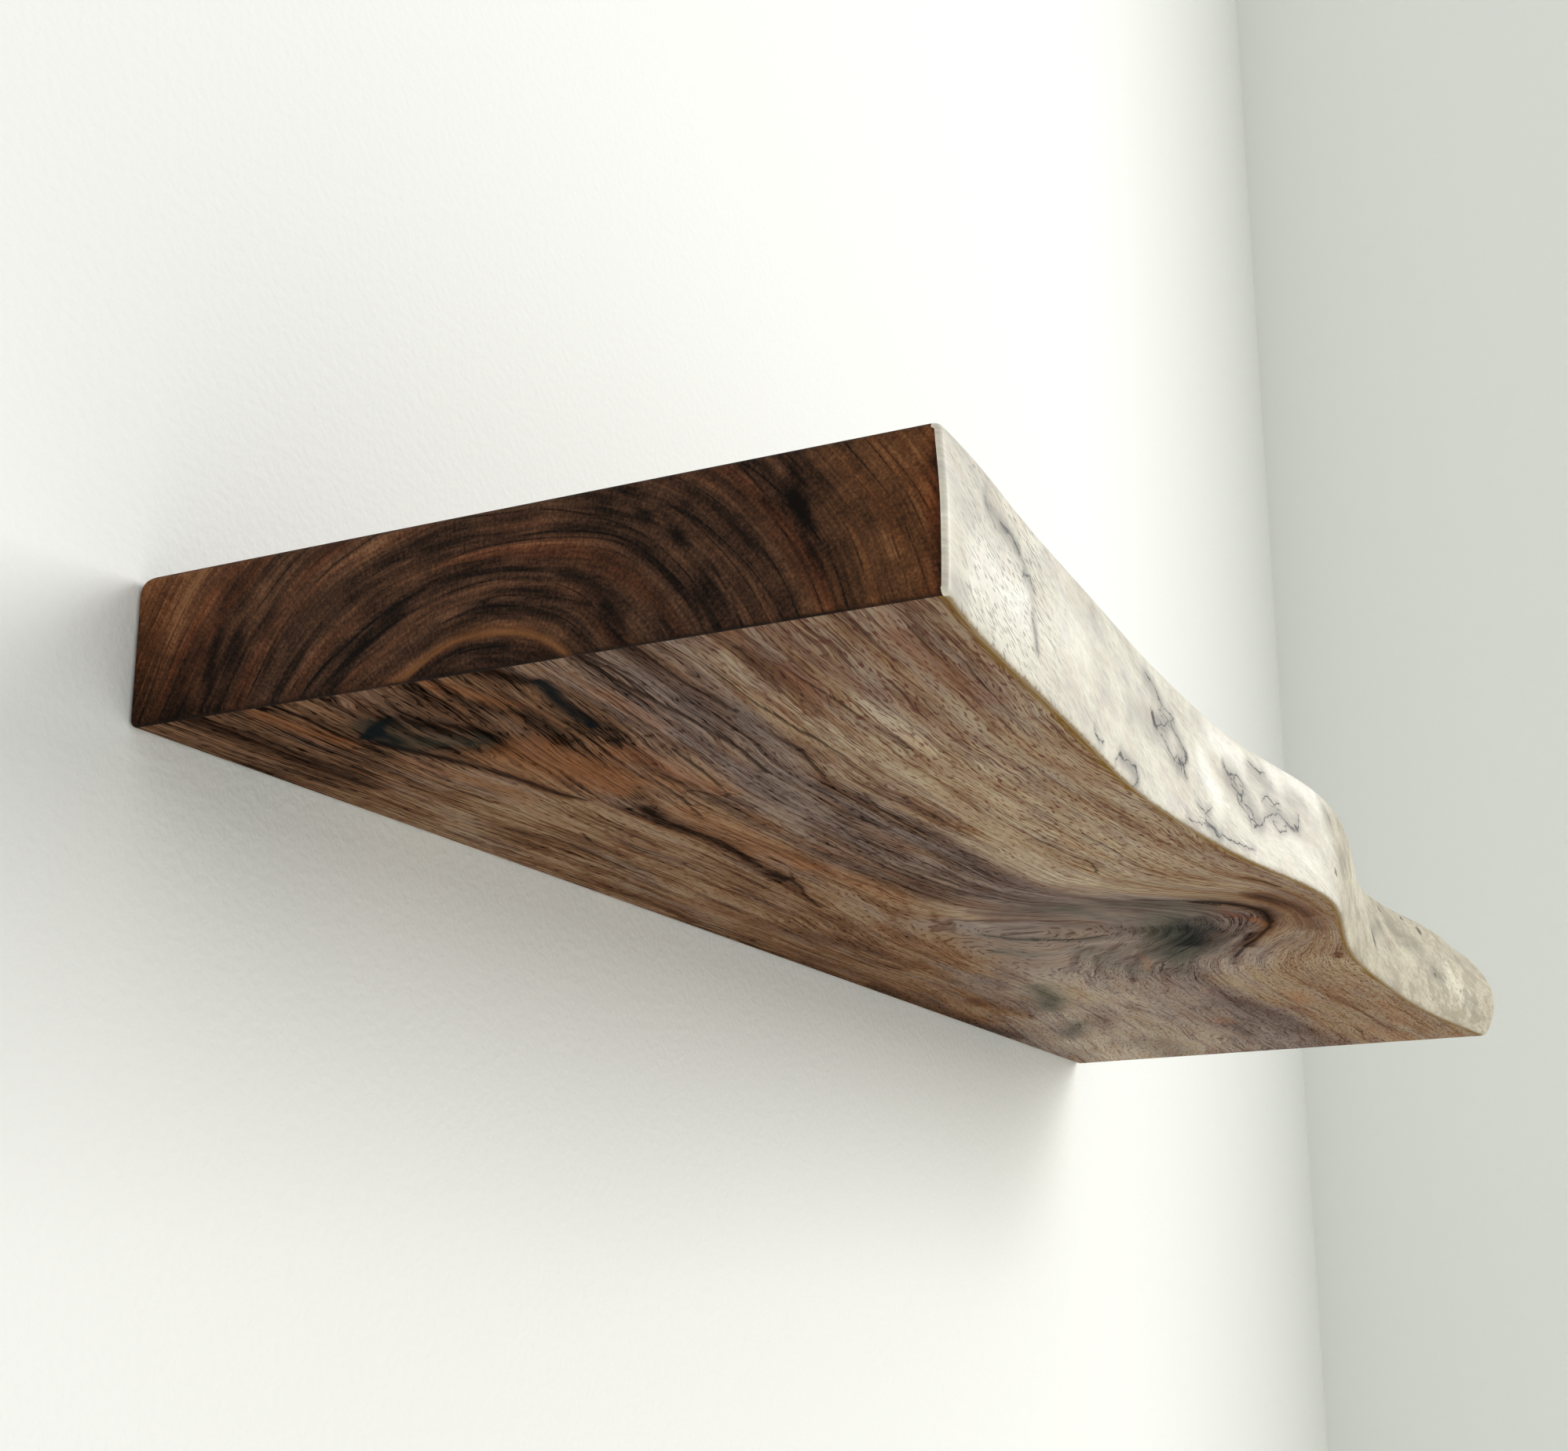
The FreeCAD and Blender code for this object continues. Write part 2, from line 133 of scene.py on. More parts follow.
# %% [markdown]
# ## The plank's outline
#
# The plank was sawn square at both ends and along its back, but its front is the natural
# outside of the log, debarked and sanded. In the CAD model that front is a lofted surface.
# A render needs it as a fine grid, so that ripples and colour can sit on it. Rays shot at the
# CAD surface at three heights give its depth, and a parabola through the three joins them,
# because the loft bulges in the same way.
# %% Measure the live edge
LENGTH, THICKNESS = 700.0, 40.0
HALF = THICKNESS / 2
PROBE_HEIGHT = 18.0
RAY_START = -300.0

cad_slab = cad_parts["slab"]
tree = BVHTree.FromPolygons(
    [v.co for v in cad_slab.data.vertices], [p.vertices for p in cad_slab.data.polygons]
)
stations = np.arange(-346.0, 346.5, 2.0)
probes = np.zeros((3, len(stations)))
for row, z in enumerate((-PROBE_HEIGHT, 0.0, PROBE_HEIGHT)):
    for column, x in enumerate(stations):
        place = tree.ray_cast(Vector((x, RAY_START, z)) * MM, Vector((0, 1, 0)))[0]
        probes[row, column] = -place.y / MM
# The CAD surface comes as flat facets: a short running mean takes their corners off.
weights = np.array([1, 2, 3, 2, 1]) / 9
padded = np.pad(probes, ((0, 0), (2, 2)), mode="reflect", reflect_type="odd")
probes = np.array([np.convolve(row, weights, mode="valid") for row in padded])


def edge_depth(x, z):
    """How far the live edge stands from the wall, in mm, at x and z in mm."""
    low, middle, high = (np.interp(x, stations, row) for row in probes)
    t = z / PROBE_HEIGHT
    return middle + t * (high - low) / 2 + t * t * ((high + low) / 2 - middle)


print("depth of the live edge:", probes.min().round(1), "to", probes.max().round(1), "mm")

# %% [markdown]
# ## The plank's mesh
#
# The mesh is a stack of cross sections, 1.5 mm apart. Each section is one closed line round
# the plank, with its four long arrises broken by a small round. Only the last few sections at
# each end shrink inward, which rounds the sawn ends. Blender's bevel tool could round the
# arrises too, but a section that is computed keeps its rows in line for the grain.
# %% Sections of the plank
SECTIONS = 466
END_ROUND = 1.5
ROUND = {"front_top": 2.2, "front_under": 1.6, "back_top": 5.0, "back_under": 2.0}
ROWS = {"under": 150, "back": 6, "top": 50, "live": 30, "round": 5}


def bend(start, corner, end, steps):
    """Points of the curve that leaves `start`, turns at `corner` and arrives at `end`."""
    t = np.linspace(0, 1, steps + 2)[1:-1, None]
    return (1 - t) ** 2 * start + 2 * t * (1 - t) * corner + t**2 * end


def ripple(x, z):
    """Shallow hollows of the bare log face, 0 to 0.3 mm deep."""
    waves = (
        np.sin(x / 9.1 + z / 13.0) * np.sin(x / 23.0 - z / 8.0 + 1.3)
        + 0.6 * np.sin(x / 5.2 - z / 6.1 + 2.0) * np.sin(x / 14.0 + z / 5.0)
    )
    return 0.09 * (waves + 1.6)


def section(x, inset):
    """The closed line round the plank at x, as (depth, height) points in mm."""
    top, low, back = HALF - inset, inset - HALF, inset
    r = {name: max(radius - inset, 0.2) for name, radius in ROUND.items()}

    def live(z):
        """How far the live edge stands out at a height, less the inset."""
        return edge_depth(x, z) - inset

    z_live = np.linspace(top - r["front_top"], low + r["front_under"], ROWS["live"])
    # the hollows fade out over the last 3 mm before an arris
    fade = np.clip(np.minimum(z_live - z_live[-1], z_live[0] - z_live) / 3.0, 0, 1)
    front = np.column_stack([live(z_live) - ripple(x, z_live) * fade, z_live])
    d_under = np.linspace(live(low) - r["front_under"], back + r["back_under"], ROWS["under"])
    under = np.column_stack([d_under, np.full_like(d_under, low)])
    z_back = np.linspace(low + r["back_under"], top - r["back_top"], ROWS["back"])
    rear = np.column_stack([np.full_like(z_back, back), z_back])
    d_top = np.linspace(back + r["back_top"], live(top) - r["front_top"], ROWS["top"])
    over = np.column_stack([d_top, np.full_like(d_top, top)])
    corners = {
        "front_under": bend(front[-1], np.array([live(low), low]), under[0], ROWS["round"]),
        "back_under": bend(under[-1], np.array([back, low]), rear[0], ROWS["round"]),
        "back_top": bend(rear[-1], np.array([back, top]), over[0], ROWS["round"]),
        "front_top": bend(over[-1], np.array([live(top), top]), front[0], ROWS["round"]),
    }
    return [
        ("live", front), ("live", corners["front_under"]), ("long", under),
        ("long", corners["back_under"]), ("back", rear), ("long", corners["back_top"]),
        ("long", over), ("live", corners["front_top"]),
    ]


turn = np.radians([90, 67.5, 45, 22.5])
near_end = [
    (-LENGTH / 2 + END_ROUND * (1 - math.sin(a)), END_ROUND * (1 - math.cos(a))) for a in turn
]
places = np.linspace(-LENGTH / 2 + END_ROUND, LENGTH / 2 - END_ROUND, SECTIONS)
cuts = near_end + [(x, 0.0) for x in places] + [(-x, inset) for x, inset in reversed(near_end)]
rings = [section(x, inset) for x, inset in cuts]
regions = [name for name, points in rings[0] for _ in points]
around = len(regions)
print(len(cuts), "sections of", around, "points")

# %% [markdown]
# The grid turns into faces. Three finishes meet on one plank: long grain below, above and
# behind, end grain on the two sawn ends, and pale sapwood on the live edge. Each face gets
# the number of its finish here, while its place in the grid still says what it is. The three
# materials are opened now, empty, and filled in below.
# %% Faces of the plank
LONG_GRAIN, END_GRAIN, LIVE_EDGE = 0, 1, 2

verts = []
for (x, _), ring in zip(cuts, rings):
    line = np.vstack([points for _, points in ring])
    verts.append(np.column_stack([np.full(around, x), -line[:, 0], line[:, 1]]))
verts = np.concatenate(verts)
faces, finish_of, smooth = [], [], []
last = len(cuts) - 1
for cut in range(last):
    on_end = cut < len(near_end) or cut >= last - len(near_end)
    for k in range(around):
        following = (k + 1) % around
        a, b = cut * around, (cut + 1) * around
        faces.append((a + k, b + k, b + following, a + following))
        live_here = regions[k] == "live" or regions[following] == "live"
        finish_of.append(LIVE_EDGE if live_here else END_GRAIN if on_end else LONG_GRAIN)
        smooth.append(not (regions[k] == "back" and regions[following] == "back"))
faces += [tuple(range(around)), tuple(last * around + k for k in reversed(range(around)))]
finish_of += [END_GRAIN, END_GRAIN]
smooth += [False, False]


def mesh_object(name, points, polygons):
    """A mesh object from points in mm."""
    mesh = bpy.data.meshes.new(name)
    mesh.from_pydata((np.asarray(points, float) * MM).tolist(), [], polygons)
    made = bpy.data.objects.new(name, mesh)
    bpy.context.scene.collection.objects.link(made)
    return made


plank = mesh_object("live_edge_plank", verts, faces)
walnut = new_material("oiled_walnut_long_grain")
end_grain = new_material("oiled_walnut_end_grain")
sapwood = new_material("sanded_walnut_sapwood")
for finish in (walnut, end_grain, sapwood):
    plank.data.materials.append(finish)
for attribute, values in (("material_index", finish_of), ("use_smooth", smooth)):
    plank.data.polygons.foreach_set(attribute, values)
plank.data.update()
print("plank:", len(verts), "points,", len(faces), "faces")

# %% [markdown]
# The back of the plank has a shallow recess for the steel bar and three deep bores for the
# rods. They are cut the way a router and a drill cut them: a tool of the right shape is
# placed in the wood and taken away with a Boolean modifier.
# %% Cut the recess and the bores
RECESS = {"half_length": 280.5, "half_height": 13.0, "depth": 6.5, "corner": 5.5}
BORE_RADIUS, BORE_DEPTH = 6.1, 160.0
ROD_PLACES = [-225.0, 0.0, 225.0]
TOOL_START = 2.0


def prism(name, outlines, y_from, y_to, taper=1.0):
    """A closed tool from outlines in x and z, each driven from y_from to y_to and scaled there."""
    points, polygons = [], []
    for outline in outlines:
        first, count = len(points), len(outline)
        second = first + count
        points += [(x, y_from, z) for x, z in outline]
        points += [(x * taper, y_to, z * taper) for x, z in outline]
        for k in range(count):
            following = (k + 1) % count
            polygons.append((first + k, first + following, second + following, second + k))
        polygons.append(tuple(first + k for k in reversed(range(count))))
        polygons.append(tuple(second + k for k in range(count)))
    return mesh_object(name, points, polygons)


def circle(x, z, radius, steps, start=0.0, sweep=360.0):
    """Points of a circle or, with a smaller sweep, of an arc, without the last one."""
    angles = np.radians(start + sweep * np.arange(steps) / steps)
    return [(x + radius * math.cos(a), z + radius * math.sin(a)) for a in angles]


inner_x = RECESS["half_length"] - RECESS["corner"]
inner_z = RECESS["half_height"] - RECESS["corner"]
recess_outline = []
for turn_start, x_side, z_side in ((0, 1, 1), (90, -1, 1), (180, -1, -1), (270, 1, -1)):
    # nine points at steps of a ninth of 101.25 degrees reach from 0 to 90 degrees
    corner = circle(x_side * inner_x, z_side * inner_z, RECESS["corner"], 9, turn_start, 101.25)
    recess_outline += corner
tools = [
    prism("recess_tool", [recess_outline], TOOL_START, -RECESS["depth"]),
    prism("bore_tool", [circle(x, 0, BORE_RADIUS, 48) for x in ROD_PLACES], TOOL_START, -BORE_DEPTH),
]


def cut_away(piece, tools):
    """Takes the tools out of the piece, keeps the result as its mesh, and removes the tools."""
    for tool in tools:
        cut = piece.modifiers.new(tool.name, "BOOLEAN")
        cut.operation, cut.solver, cut.object = "DIFFERENCE", "EXACT", tool
    bpy.context.view_layer.update()
    evaluated = piece.evaluated_get(bpy.context.evaluated_depsgraph_get())
    result = bpy.data.meshes.new_from_object(evaluated)
    piece.modifiers.clear()
    piece.data = result
    for tool in tools:
        bpy.data.objects.remove(tool)


cut_away(plank, tools)
print("after cutting:", len(plank.data.vertices), "points")

# %% [markdown]
# ## The grain as a field
#
# Straight streaks make a plank look printed. In the real one the fibres part round a knot
# and close again behind it, and every band of colour follows them. So each point of the mesh
# stores where it lies along the fibres: its distance along the plank, its distance across it
# after the knot's bend has been taken out, and its height. Textures that read this place
# instead of the true one bend round the knot by themselves.
# %% Where each point of the plank lies
count = len(plank.data.vertices)
place = np.zeros(count * 3)
plank.data.vertices.foreach_get("co", place)
place = place.reshape(-1, 3) / MM
along, deep, high = place[:, 0] + LENGTH / 2, -place[:, 1], place[:, 2] + HALF


def soft_step(value, start, end):
    """0 before start, 1 after end, and a smooth rise between."""
    t = np.clip((value - start) / (end - start), 0, 1)
    return t * t * (3 - 2 * t)


def wander(a, b, seed):
    """A smooth wave of two directions, about -1 to 1, used to keep lines from being straight."""
    return (
        np.sin(a + b * 0.37 + seed) + np.sin(a * 0.43 - b * 1.10 + seed * 2.3)
        + 0.5 * np.sin(a * 2.10 + b * 1.70 + seed * 0.7)
    ) / 2.5


print("the points lie up to", deep.max().round(1), "mm out from the wall")

# %% [markdown]
# The big knot sits a little past the middle, near the live edge. It pushes the fibres towards
# the wall, further on its long side than on its short one, and hardly at all near the top
# face, because the branch that made it ran steeply down. Behind it a weaker swell pushes the
# other way. Near both ends the fibres also run a few degrees off the plank's line.
# %% The flow of the fibres
KNOT_PLACE, KNOT_PUSH = 365.0, 54.0
KNOT_SPREAD_NEAR, KNOT_SPREAD_FAR = 46.0, 66.0
SWELL_PLACE, SWELL_SPREAD, SWELL_PUSH = 395.0, 95.0, 17.0
NEAR_RUN_OUT, FAR_RUN_OUT = 125.0, 430.0


def soft_ramp(distance, softness):
    """0 while the distance is negative, and the distance itself well above 0."""
    return softness * np.logaddexp(0, distance / softness)


spread = np.where(along < KNOT_PLACE, KNOT_SPREAD_NEAR, KNOT_SPREAD_FAR)
push = KNOT_PUSH * np.exp(-(((along - KNOT_PLACE) / spread) ** 2))
reach = soft_step(deep, 55, 150) * (1 - 0.75 * soft_step(deep, 190, 216))
upward = soft_step(high, 4, 36)
swell = SWELL_PUSH * np.exp(-(((along - SWELL_PLACE) / SWELL_SPREAD) ** 2))
swell = swell * soft_step(deep, 0, 40) * (1 - soft_step(deep, 70, 100))
bent = (swell - push * reach) * (1 - 0.75 * upward)
near_slope = 0.03 + 0.18 * soft_step(deep, 40, 100) - 0.10 * soft_step(deep, 100, 165)
far_slope = 0.18 * (1 - soft_step(deep, 15, 165))
near_tilt = near_slope * soft_ramp(NEAR_RUN_OUT - along, 12)
far_tilt = far_slope * soft_ramp(along - FAR_RUN_OUT, 20)
across = deep - near_tilt + bent + 2.0 * wander(along / 45, deep / 18, 1.0)
fibre = np.column_stack([along, across + far_tilt, high])
print("the knot pushes the fibres aside by up to", round(float((deep - across).max()), 1), "mm")

# %% [markdown]
# ## Marks in the wood
#
# A plank has its own marks: a dark knot, streaks of mineral stain, paler lines. The wide ones
# are laid on as strokes, as a grainer lays them with a brush. Each stroke is a colour channel,
# a strength, a half width and a line of points in mm: along the plank from its near end, and
# out from the wall. The shader later breaks their edges up with the fibres.
# %% Strokes on the underside
UNDERSIDE = [
    # near end: a small knot with its arms, and a dark crack
    ("ink", 0.8, 1.9, [(25, 63), (30, 57), (37, 47)]),
    ("ink", 0.5, 2.4, [(34, 53), (42, 53)]),
    ("ink", 0.5, 1.6, [(37, 47), (46, 49), (55, 53)]),
    ("dark", 0.55, 2.6, [(44, 48), (60, 54), (75, 58), (98, 60.5), (112, 61)]),
    ("dark", 0.22, 5, [(138, 72), (165, 69), (188, 73), (212, 68), (240, 66)]),
    ("ink", 0.28, 6, [(28, 56), (46, 50)]),
    ("dark", 0.30, 7, [(30, 62), (50, 78)]),
    ("dark", 0.35, 6, [(28, 52), (38, 50), (52, 62), (60, 70)]),
    ("dark", 0.35, 7, [(26, 66), (34, 72), (56, 76)]),
    ("moss", 0.35, 8, [(28, 56), (44, 54), (52, 72)]),
    ("ink", 0.45, 2.2, [(45, 68), (53, 72)]),
    ("dark", 0.5, 5, [(24, 92), (40, 95), (62, 90)]),
    ("dark", 0.5, 4, [(0, 20), (80, 19)]),
    ("dark", 0.6, 5, [(0, 107), (14, 112)]),
    ("ink", 0.95, 2.6, [(15, 115), (24, 113), (31, 110), (42, 107), (50, 105.5)]),
    ("ink", 0.6, 1.6, [(50, 105.5), (60, 101)]),
    ("amber", 0.45, 5, [(8, 36), (40, 40)]),
    ("amber", 0.35, 5, [(6, 90), (28, 98)]),
    ("amber", 0.45, 9, [(66, 72), (112, 76)]),
    ("amber", 0.35, 7, [(60, 84), (110, 88)]),
    ("amber", 0.4, 7, [(140, 83), (225, 80)]),
    ("amber", 0.5, 7, [(76, 101), (128, 102)]),
    ("amber", 0.35, 5, [(30, 123), (60, 121)]),
    ("amber", 0.3, 5, [(60, 44), (110, 50)]),
    ("dark", 0.3, 2.5, [(60, 126), (130, 118)]),
    ("dark", 0.35, 5, [(0, 146), (110, 143)]),
    ("dark", 0.4, 5, [(0, 170), (50, 167), (70, 160)]),
    ("dark", 0.25, 4, [(0, 182), (60, 179)]),
    ("pale", 0.5, 2.2, [(14, 164), (60, 158), (110, 155)]),
    ("pale", 0.3, 3, [(60, 176), (120, 172)]),
    ("rose", 0.5, 4, [(30, 172), (60, 168)]),
    ("rose", 0.4, 4, [(60, 184), (110, 184)]),
    ("rose", 0.4, 5, [(120, 164), (145, 171)]),
    ("rose", 0.5, 5, [(20, 204), (80, 204)]),
    ("rose", 0.5, 4, [(138, 196), (170, 200)]),
    # the middle
    ("dark", 0.55, 3.2, [(134, 75), (150, 70), (180, 73), (200, 71), (216, 67), (240, 64)]),
    ("ink", 0.5, 2.6, [(230, 66), (242, 68), (254, 65)]),
    ("dark", 0.5, 2.6, [(228, 66), (285, 58)]),
    ("dark", 0.4, 2, [(155, 39), (185, 38)]),
    ("ink", 0.3, 3, [(186, 98), (196, 95)]),
    ("dark", 0.4, 4, [(200, 136), (240, 132), (290, 136), (330, 150)]),
    ("amber", 0.3, 6, [(230, 84), (290, 86)]),
    ("amber", 0.3, 8, [(330, 62), (400, 60)]),
    ("rose", 0.3, 5, [(250, 20), (290, 22)]),
    ("dark", 0.3, 8, [(300, 25), (350, 35)]),
    ("rose", 0.3, 5, [(358, 40), (382, 42)]),
    ("dark", 0.4, 2.0, [(310, 88), (318, 86), (330, 81)]),
    ("pale", 0.4, 4, [(312, 97), (348, 94)]),
    ("rose", 0.35, 2.5, [(300, 104), (320, 112), (334, 120)]),
    ("moss", 0.7, 4, [(358, 88), (374, 98), (382, 110), (384, 124)]),
    ("moss", 0.5, 7, [(392, 82), (404, 90)]),
    ("pale", 0.3, 3, [(392, 108), (397, 134)]),
    ("moss", 0.5, 5, [(330, 132), (350, 138)]),
    # the knot and the lines that swing round it
    ("rose", 0.45, 2, [(352, 125), (358, 150), (357, 170), (366, 181)]),
    ("pale", 0.3, 2, [(350, 122), (358, 148), (358, 170)]),
    ("ink", 0.54, 8, [(366, 162), (392, 160), (410, 152)]),
    ("ink", 0.42, 12, [(382, 152), (422, 140)]),
    ("dark", 0.4, 2.2, [(400, 128), (420, 112), (445, 102), (470, 97)]),
    ("dark", 0.4, 2.2, [(396, 116), (416, 102), (445, 92)]),
    ("dark", 0.4, 2.2, [(410, 138), (430, 122), (455, 111), (480, 105)]),
    ("pale", 0.4, 2.0, [(404, 120), (424, 106), (450, 97)]),
    ("pale", 0.35, 2.0, [(414, 130), (436, 116), (460, 107)]),
    ("moss", 0.8, 16, [(360, 158), (425, 142)]),
    ("ink", 0.4, 6, [(364, 90), (376, 100), (382, 116), (380, 130)]),
    ("dark", 0.4, 11, [(352, 122), (378, 142)]),
    ("ink", 0.4, 3.5, [(366, 170), (392, 168)]),
    ("moss", 0.5, 12, [(322, 124), (330, 150), (338, 176)]),
    ("ink", 0.45, 4.5, [(336, 176), (345, 186), (358, 192), (374, 191), (392, 185)]),
    ("dark", 0.7, 3.4, [
        (336, 175), (346, 185), (358, 191), (372, 191), (390, 187), (404, 179), (424, 169),
    ]),
    ("dark", 0.45, 9, [(338, 200), (372, 204), (400, 200)]),
    ("rose", 0.6, 2.5, [(354, 179), (376, 184)]),
    ("amber", 0.8, 2.6, [(374, 184), (390, 186)]),
    ("moss", 0.5, 9, [(402, 112), (440, 108), (460, 116)]),
    ("moss", 0.5, 6, [(436, 137), (470, 129)]),
    ("amber", 0.35, 1.8, [(424, 126), (460, 118)]),
    ("dark", 0.5, 3, [(404, 176), (430, 163), (460, 153)]),
    ("dark", 0.3, 2.5, [(330, 194), (352, 202), (380, 204)]),
    ("dark", 0.4, 3, [(306, 202), (325, 208)]),
    # the far part
    ("dark", 0.4, 7, [(440, 4), (600, 5)]),
    ("ink", 0.38, 5.0, [(484, 63), (505, 58), (520, 53)]),
    ("moss", 0.8, 8, [(474, 65), (505, 58), (530, 50)]),
    ("ink", 0.42, 4.5, [(577, 44), (590, 37), (604, 31)]),
    ("moss", 0.6, 8, [(570, 48), (612, 28)]),
    ("moss", 0.4, 12, [(640, 60), (690, 56)]),
    ("dark", 0.35, 8, [(556, 62), (590, 54)]),
    ("dark", 0.35, 4, [(450, 56), (474, 50)]),
    ("dark", 0.4, 6, [(490, 28), (505, 27)]),
    ("dark", 0.3, 6, [(520, 34), (545, 34)]),
    ("amber", 0.5, 5, [(590, 107), (606, 105)]),
    ("dark", 0.35, 5, [(606, 108), (648, 105)]),
    ("dark", 0.3, 10, [(540, 130), (700, 136)]),
    ("amber", 0.4, 5, [(540, 156), (562, 153)]),
    ("amber", 0.35, 5, [(580, 180), (640, 178)]),
    ("amber", 0.3, 5, [(640, 160), (690, 164)]),
    ("dark", 0.7, 3, [(455, 194), (463, 193)]),
]


def stroke_weight(points, half_width, a, b):
    """How strongly a stroke covers each place (a, b): 1 on its line, fading to the sides."""
    nearest = np.full(a.shape, 1e9)
    for (a0, b0), (a1, b1) in zip(points, points[1:]):
        length2 = max((a1 - a0) ** 2 + (b1 - b0) ** 2, 1e-9)
        t = np.clip(((a - a0) * (a1 - a0) + (b - b0) * (b1 - b0)) / length2, 0, 1)
        nearest = np.minimum(nearest, np.hypot(a - a0 - t * (a1 - a0), b - b0 - t * (b1 - b0)))
    return np.exp(-((nearest / half_width) ** 2))


CHANNELS = ["dark", "pale", "rose", "ink", "moss", "amber"]
on_underside = 1 - soft_step(high, 0.2, 2.0)
shaken_along = along + 3.0 * wander(along / 9, deep / 3, 4.0)
shaken_deep = deep + 1.0 * wander(along / 11, deep / 4, 9.0)
marks = {name: np.zeros(count) for name in CHANNELS}
for channel, strength, half_width, points in UNDERSIDE:
    marks[channel] += strength * stroke_weight(points, half_width, shaken_along, shaken_deep)
marks = {name: np.clip(values, 0, 1) * on_underside for name, values in marks.items()}
print("strokes laid on the underside:", len(UNDERSIDE))

# %% [markdown]
# Wide, soft changes come on top, each laid on over a box. The underside is darker towards its
# near end. The far part is paler and cooler, which is painted light and a painted sheen where
# the light glances along it, and it has a quieter figure. Each wash is a channel, an amount, a
# box along and out, and how softly the box ends. Places such as -99 and 799 lie off the plank
# and leave that side open.
# %% Washes over the underside
WASHES_AND_SHEEN = [
    # the near half: darker at the cut, with a lighter strip along the wall
    ("light", -0.20, (-99, 85), (-99, 112), 35),
    ("light", -0.04, (-99, 70), (112, 150), 30),
    ("light", -0.13, (-99, 60), (150, 260), 45),
    ("light", 0.07, (60, 120), (12, 62), 20),
    ("light", -0.09, (70, 200), (134, 150), 20),
    ("light", -0.07, (200, 285), (88, 112), 20),
    ("light", -0.08, (200, 520), (-99, 12), 40),
    ("light", -0.11, (330, 460), (-99, 10), 25),
    ("light", -0.10, (530, 620), (-99, 35), 20),
    ("light", -0.07, (60, 130), (60, 90), 15),
    ("light", -0.07, (-99, 130), (150, 205), 20),
    ("cool", 0.15, (-99, 130), (168, 215), 25),
    ("light", -0.07, (130, 205), (110, 150), 20),
    # round the big knot
    ("light", -0.08, (400, 460), (150, 172), 12),
    ("light", -0.09, (405, 460), (188, 210), 12),
    ("light", -0.07, (400, 460), (115, 140), 12),
    ("light", 0.07, (340, 400), (152, 170), 12),
    ("light", -0.12, (330, 400), (188, 206), 12),
    ("light", -0.08, (540, 690), (150, 190), 20),
    ("light", -0.06, (330, 400), (10, 40), 25),
    ("light", 0.09, (270, 350), (134, 152), 20),
    ("light", -0.06, (400, 540), (155, 190), 20),
    ("light", -0.05, (290, 350), (150, 205), 12),
    ("light", 0.12, (290, 460), (62, 100), 25),
    ("light", 0.12, (340, 460), (100, 135), 12),
    ("light", 0.06, (390, 540), (88, 120), 20),
    ("light", 0.07, (270, 470), (130, 172), 12),
    # the far part, pale: painted light and a painted sheen where the light glances along it
    ("light", 0.23, (455, 799), (50, 94), 30),
    ("light", 0.08, (455, 799), (95, 135), 30),
    ("light", 0.24, (535, 799), (15, 50), 30),
    ("light", -0.07, (540, 799), (134, 150), 25),
    ("light", 0.12, (460, 560), (188, 205), 12),
    ("light", 0.10, (600, 799), (-99, 35), 20),
    # cooler and quieter beyond the middle; towards the far end the cooler tone is a painted sheen
    ("cool", 0.9, (320, 470), (80, 170), 25),
    ("cool", 0.8, (430, 799), (35, 128), 30),
    ("cool", 0.9, (560, 799), (-99, 45), 30),
    ("calm", 0.45, (310, 425), (75, 150), 20),
    ("calm", 0.40, (320, 450), (66, 96), 15),
    ("calm", 0.15, (240, 999), (-99, 400), 60),
    ("calm", 0.2, (440, 999), (-99, 400), 40),
]


def soft_box(value, start, end, soft):
    """1 between start and end, 0 outside, with a slope of the given half width at both."""
    rise = soft_step(value, start - soft, start + soft)
    return rise * (1 - soft_step(value, end - soft, end + soft))


# the far part's light and cool washes are painted light and a painted sheen
washes_and_sheen = {name: np.zeros(count) for name in ("light", "cool", "calm")}
for channel, amount, from_to, out_to, soft in WASHES_AND_SHEEN:
    lengthwise = soft_box(along, *from_to, soft)
    washes_and_sheen[channel] += amount * lengthwise * soft_box(deep, *out_to, min(soft, 12))
washes_and_sheen["calm"] = np.clip(washes_and_sheen["calm"], 0, 0.85)
print("lightest and darkest wash:", washes_and_sheen["light"].max().round(2), washes_and_sheen["light"].min().round(2))
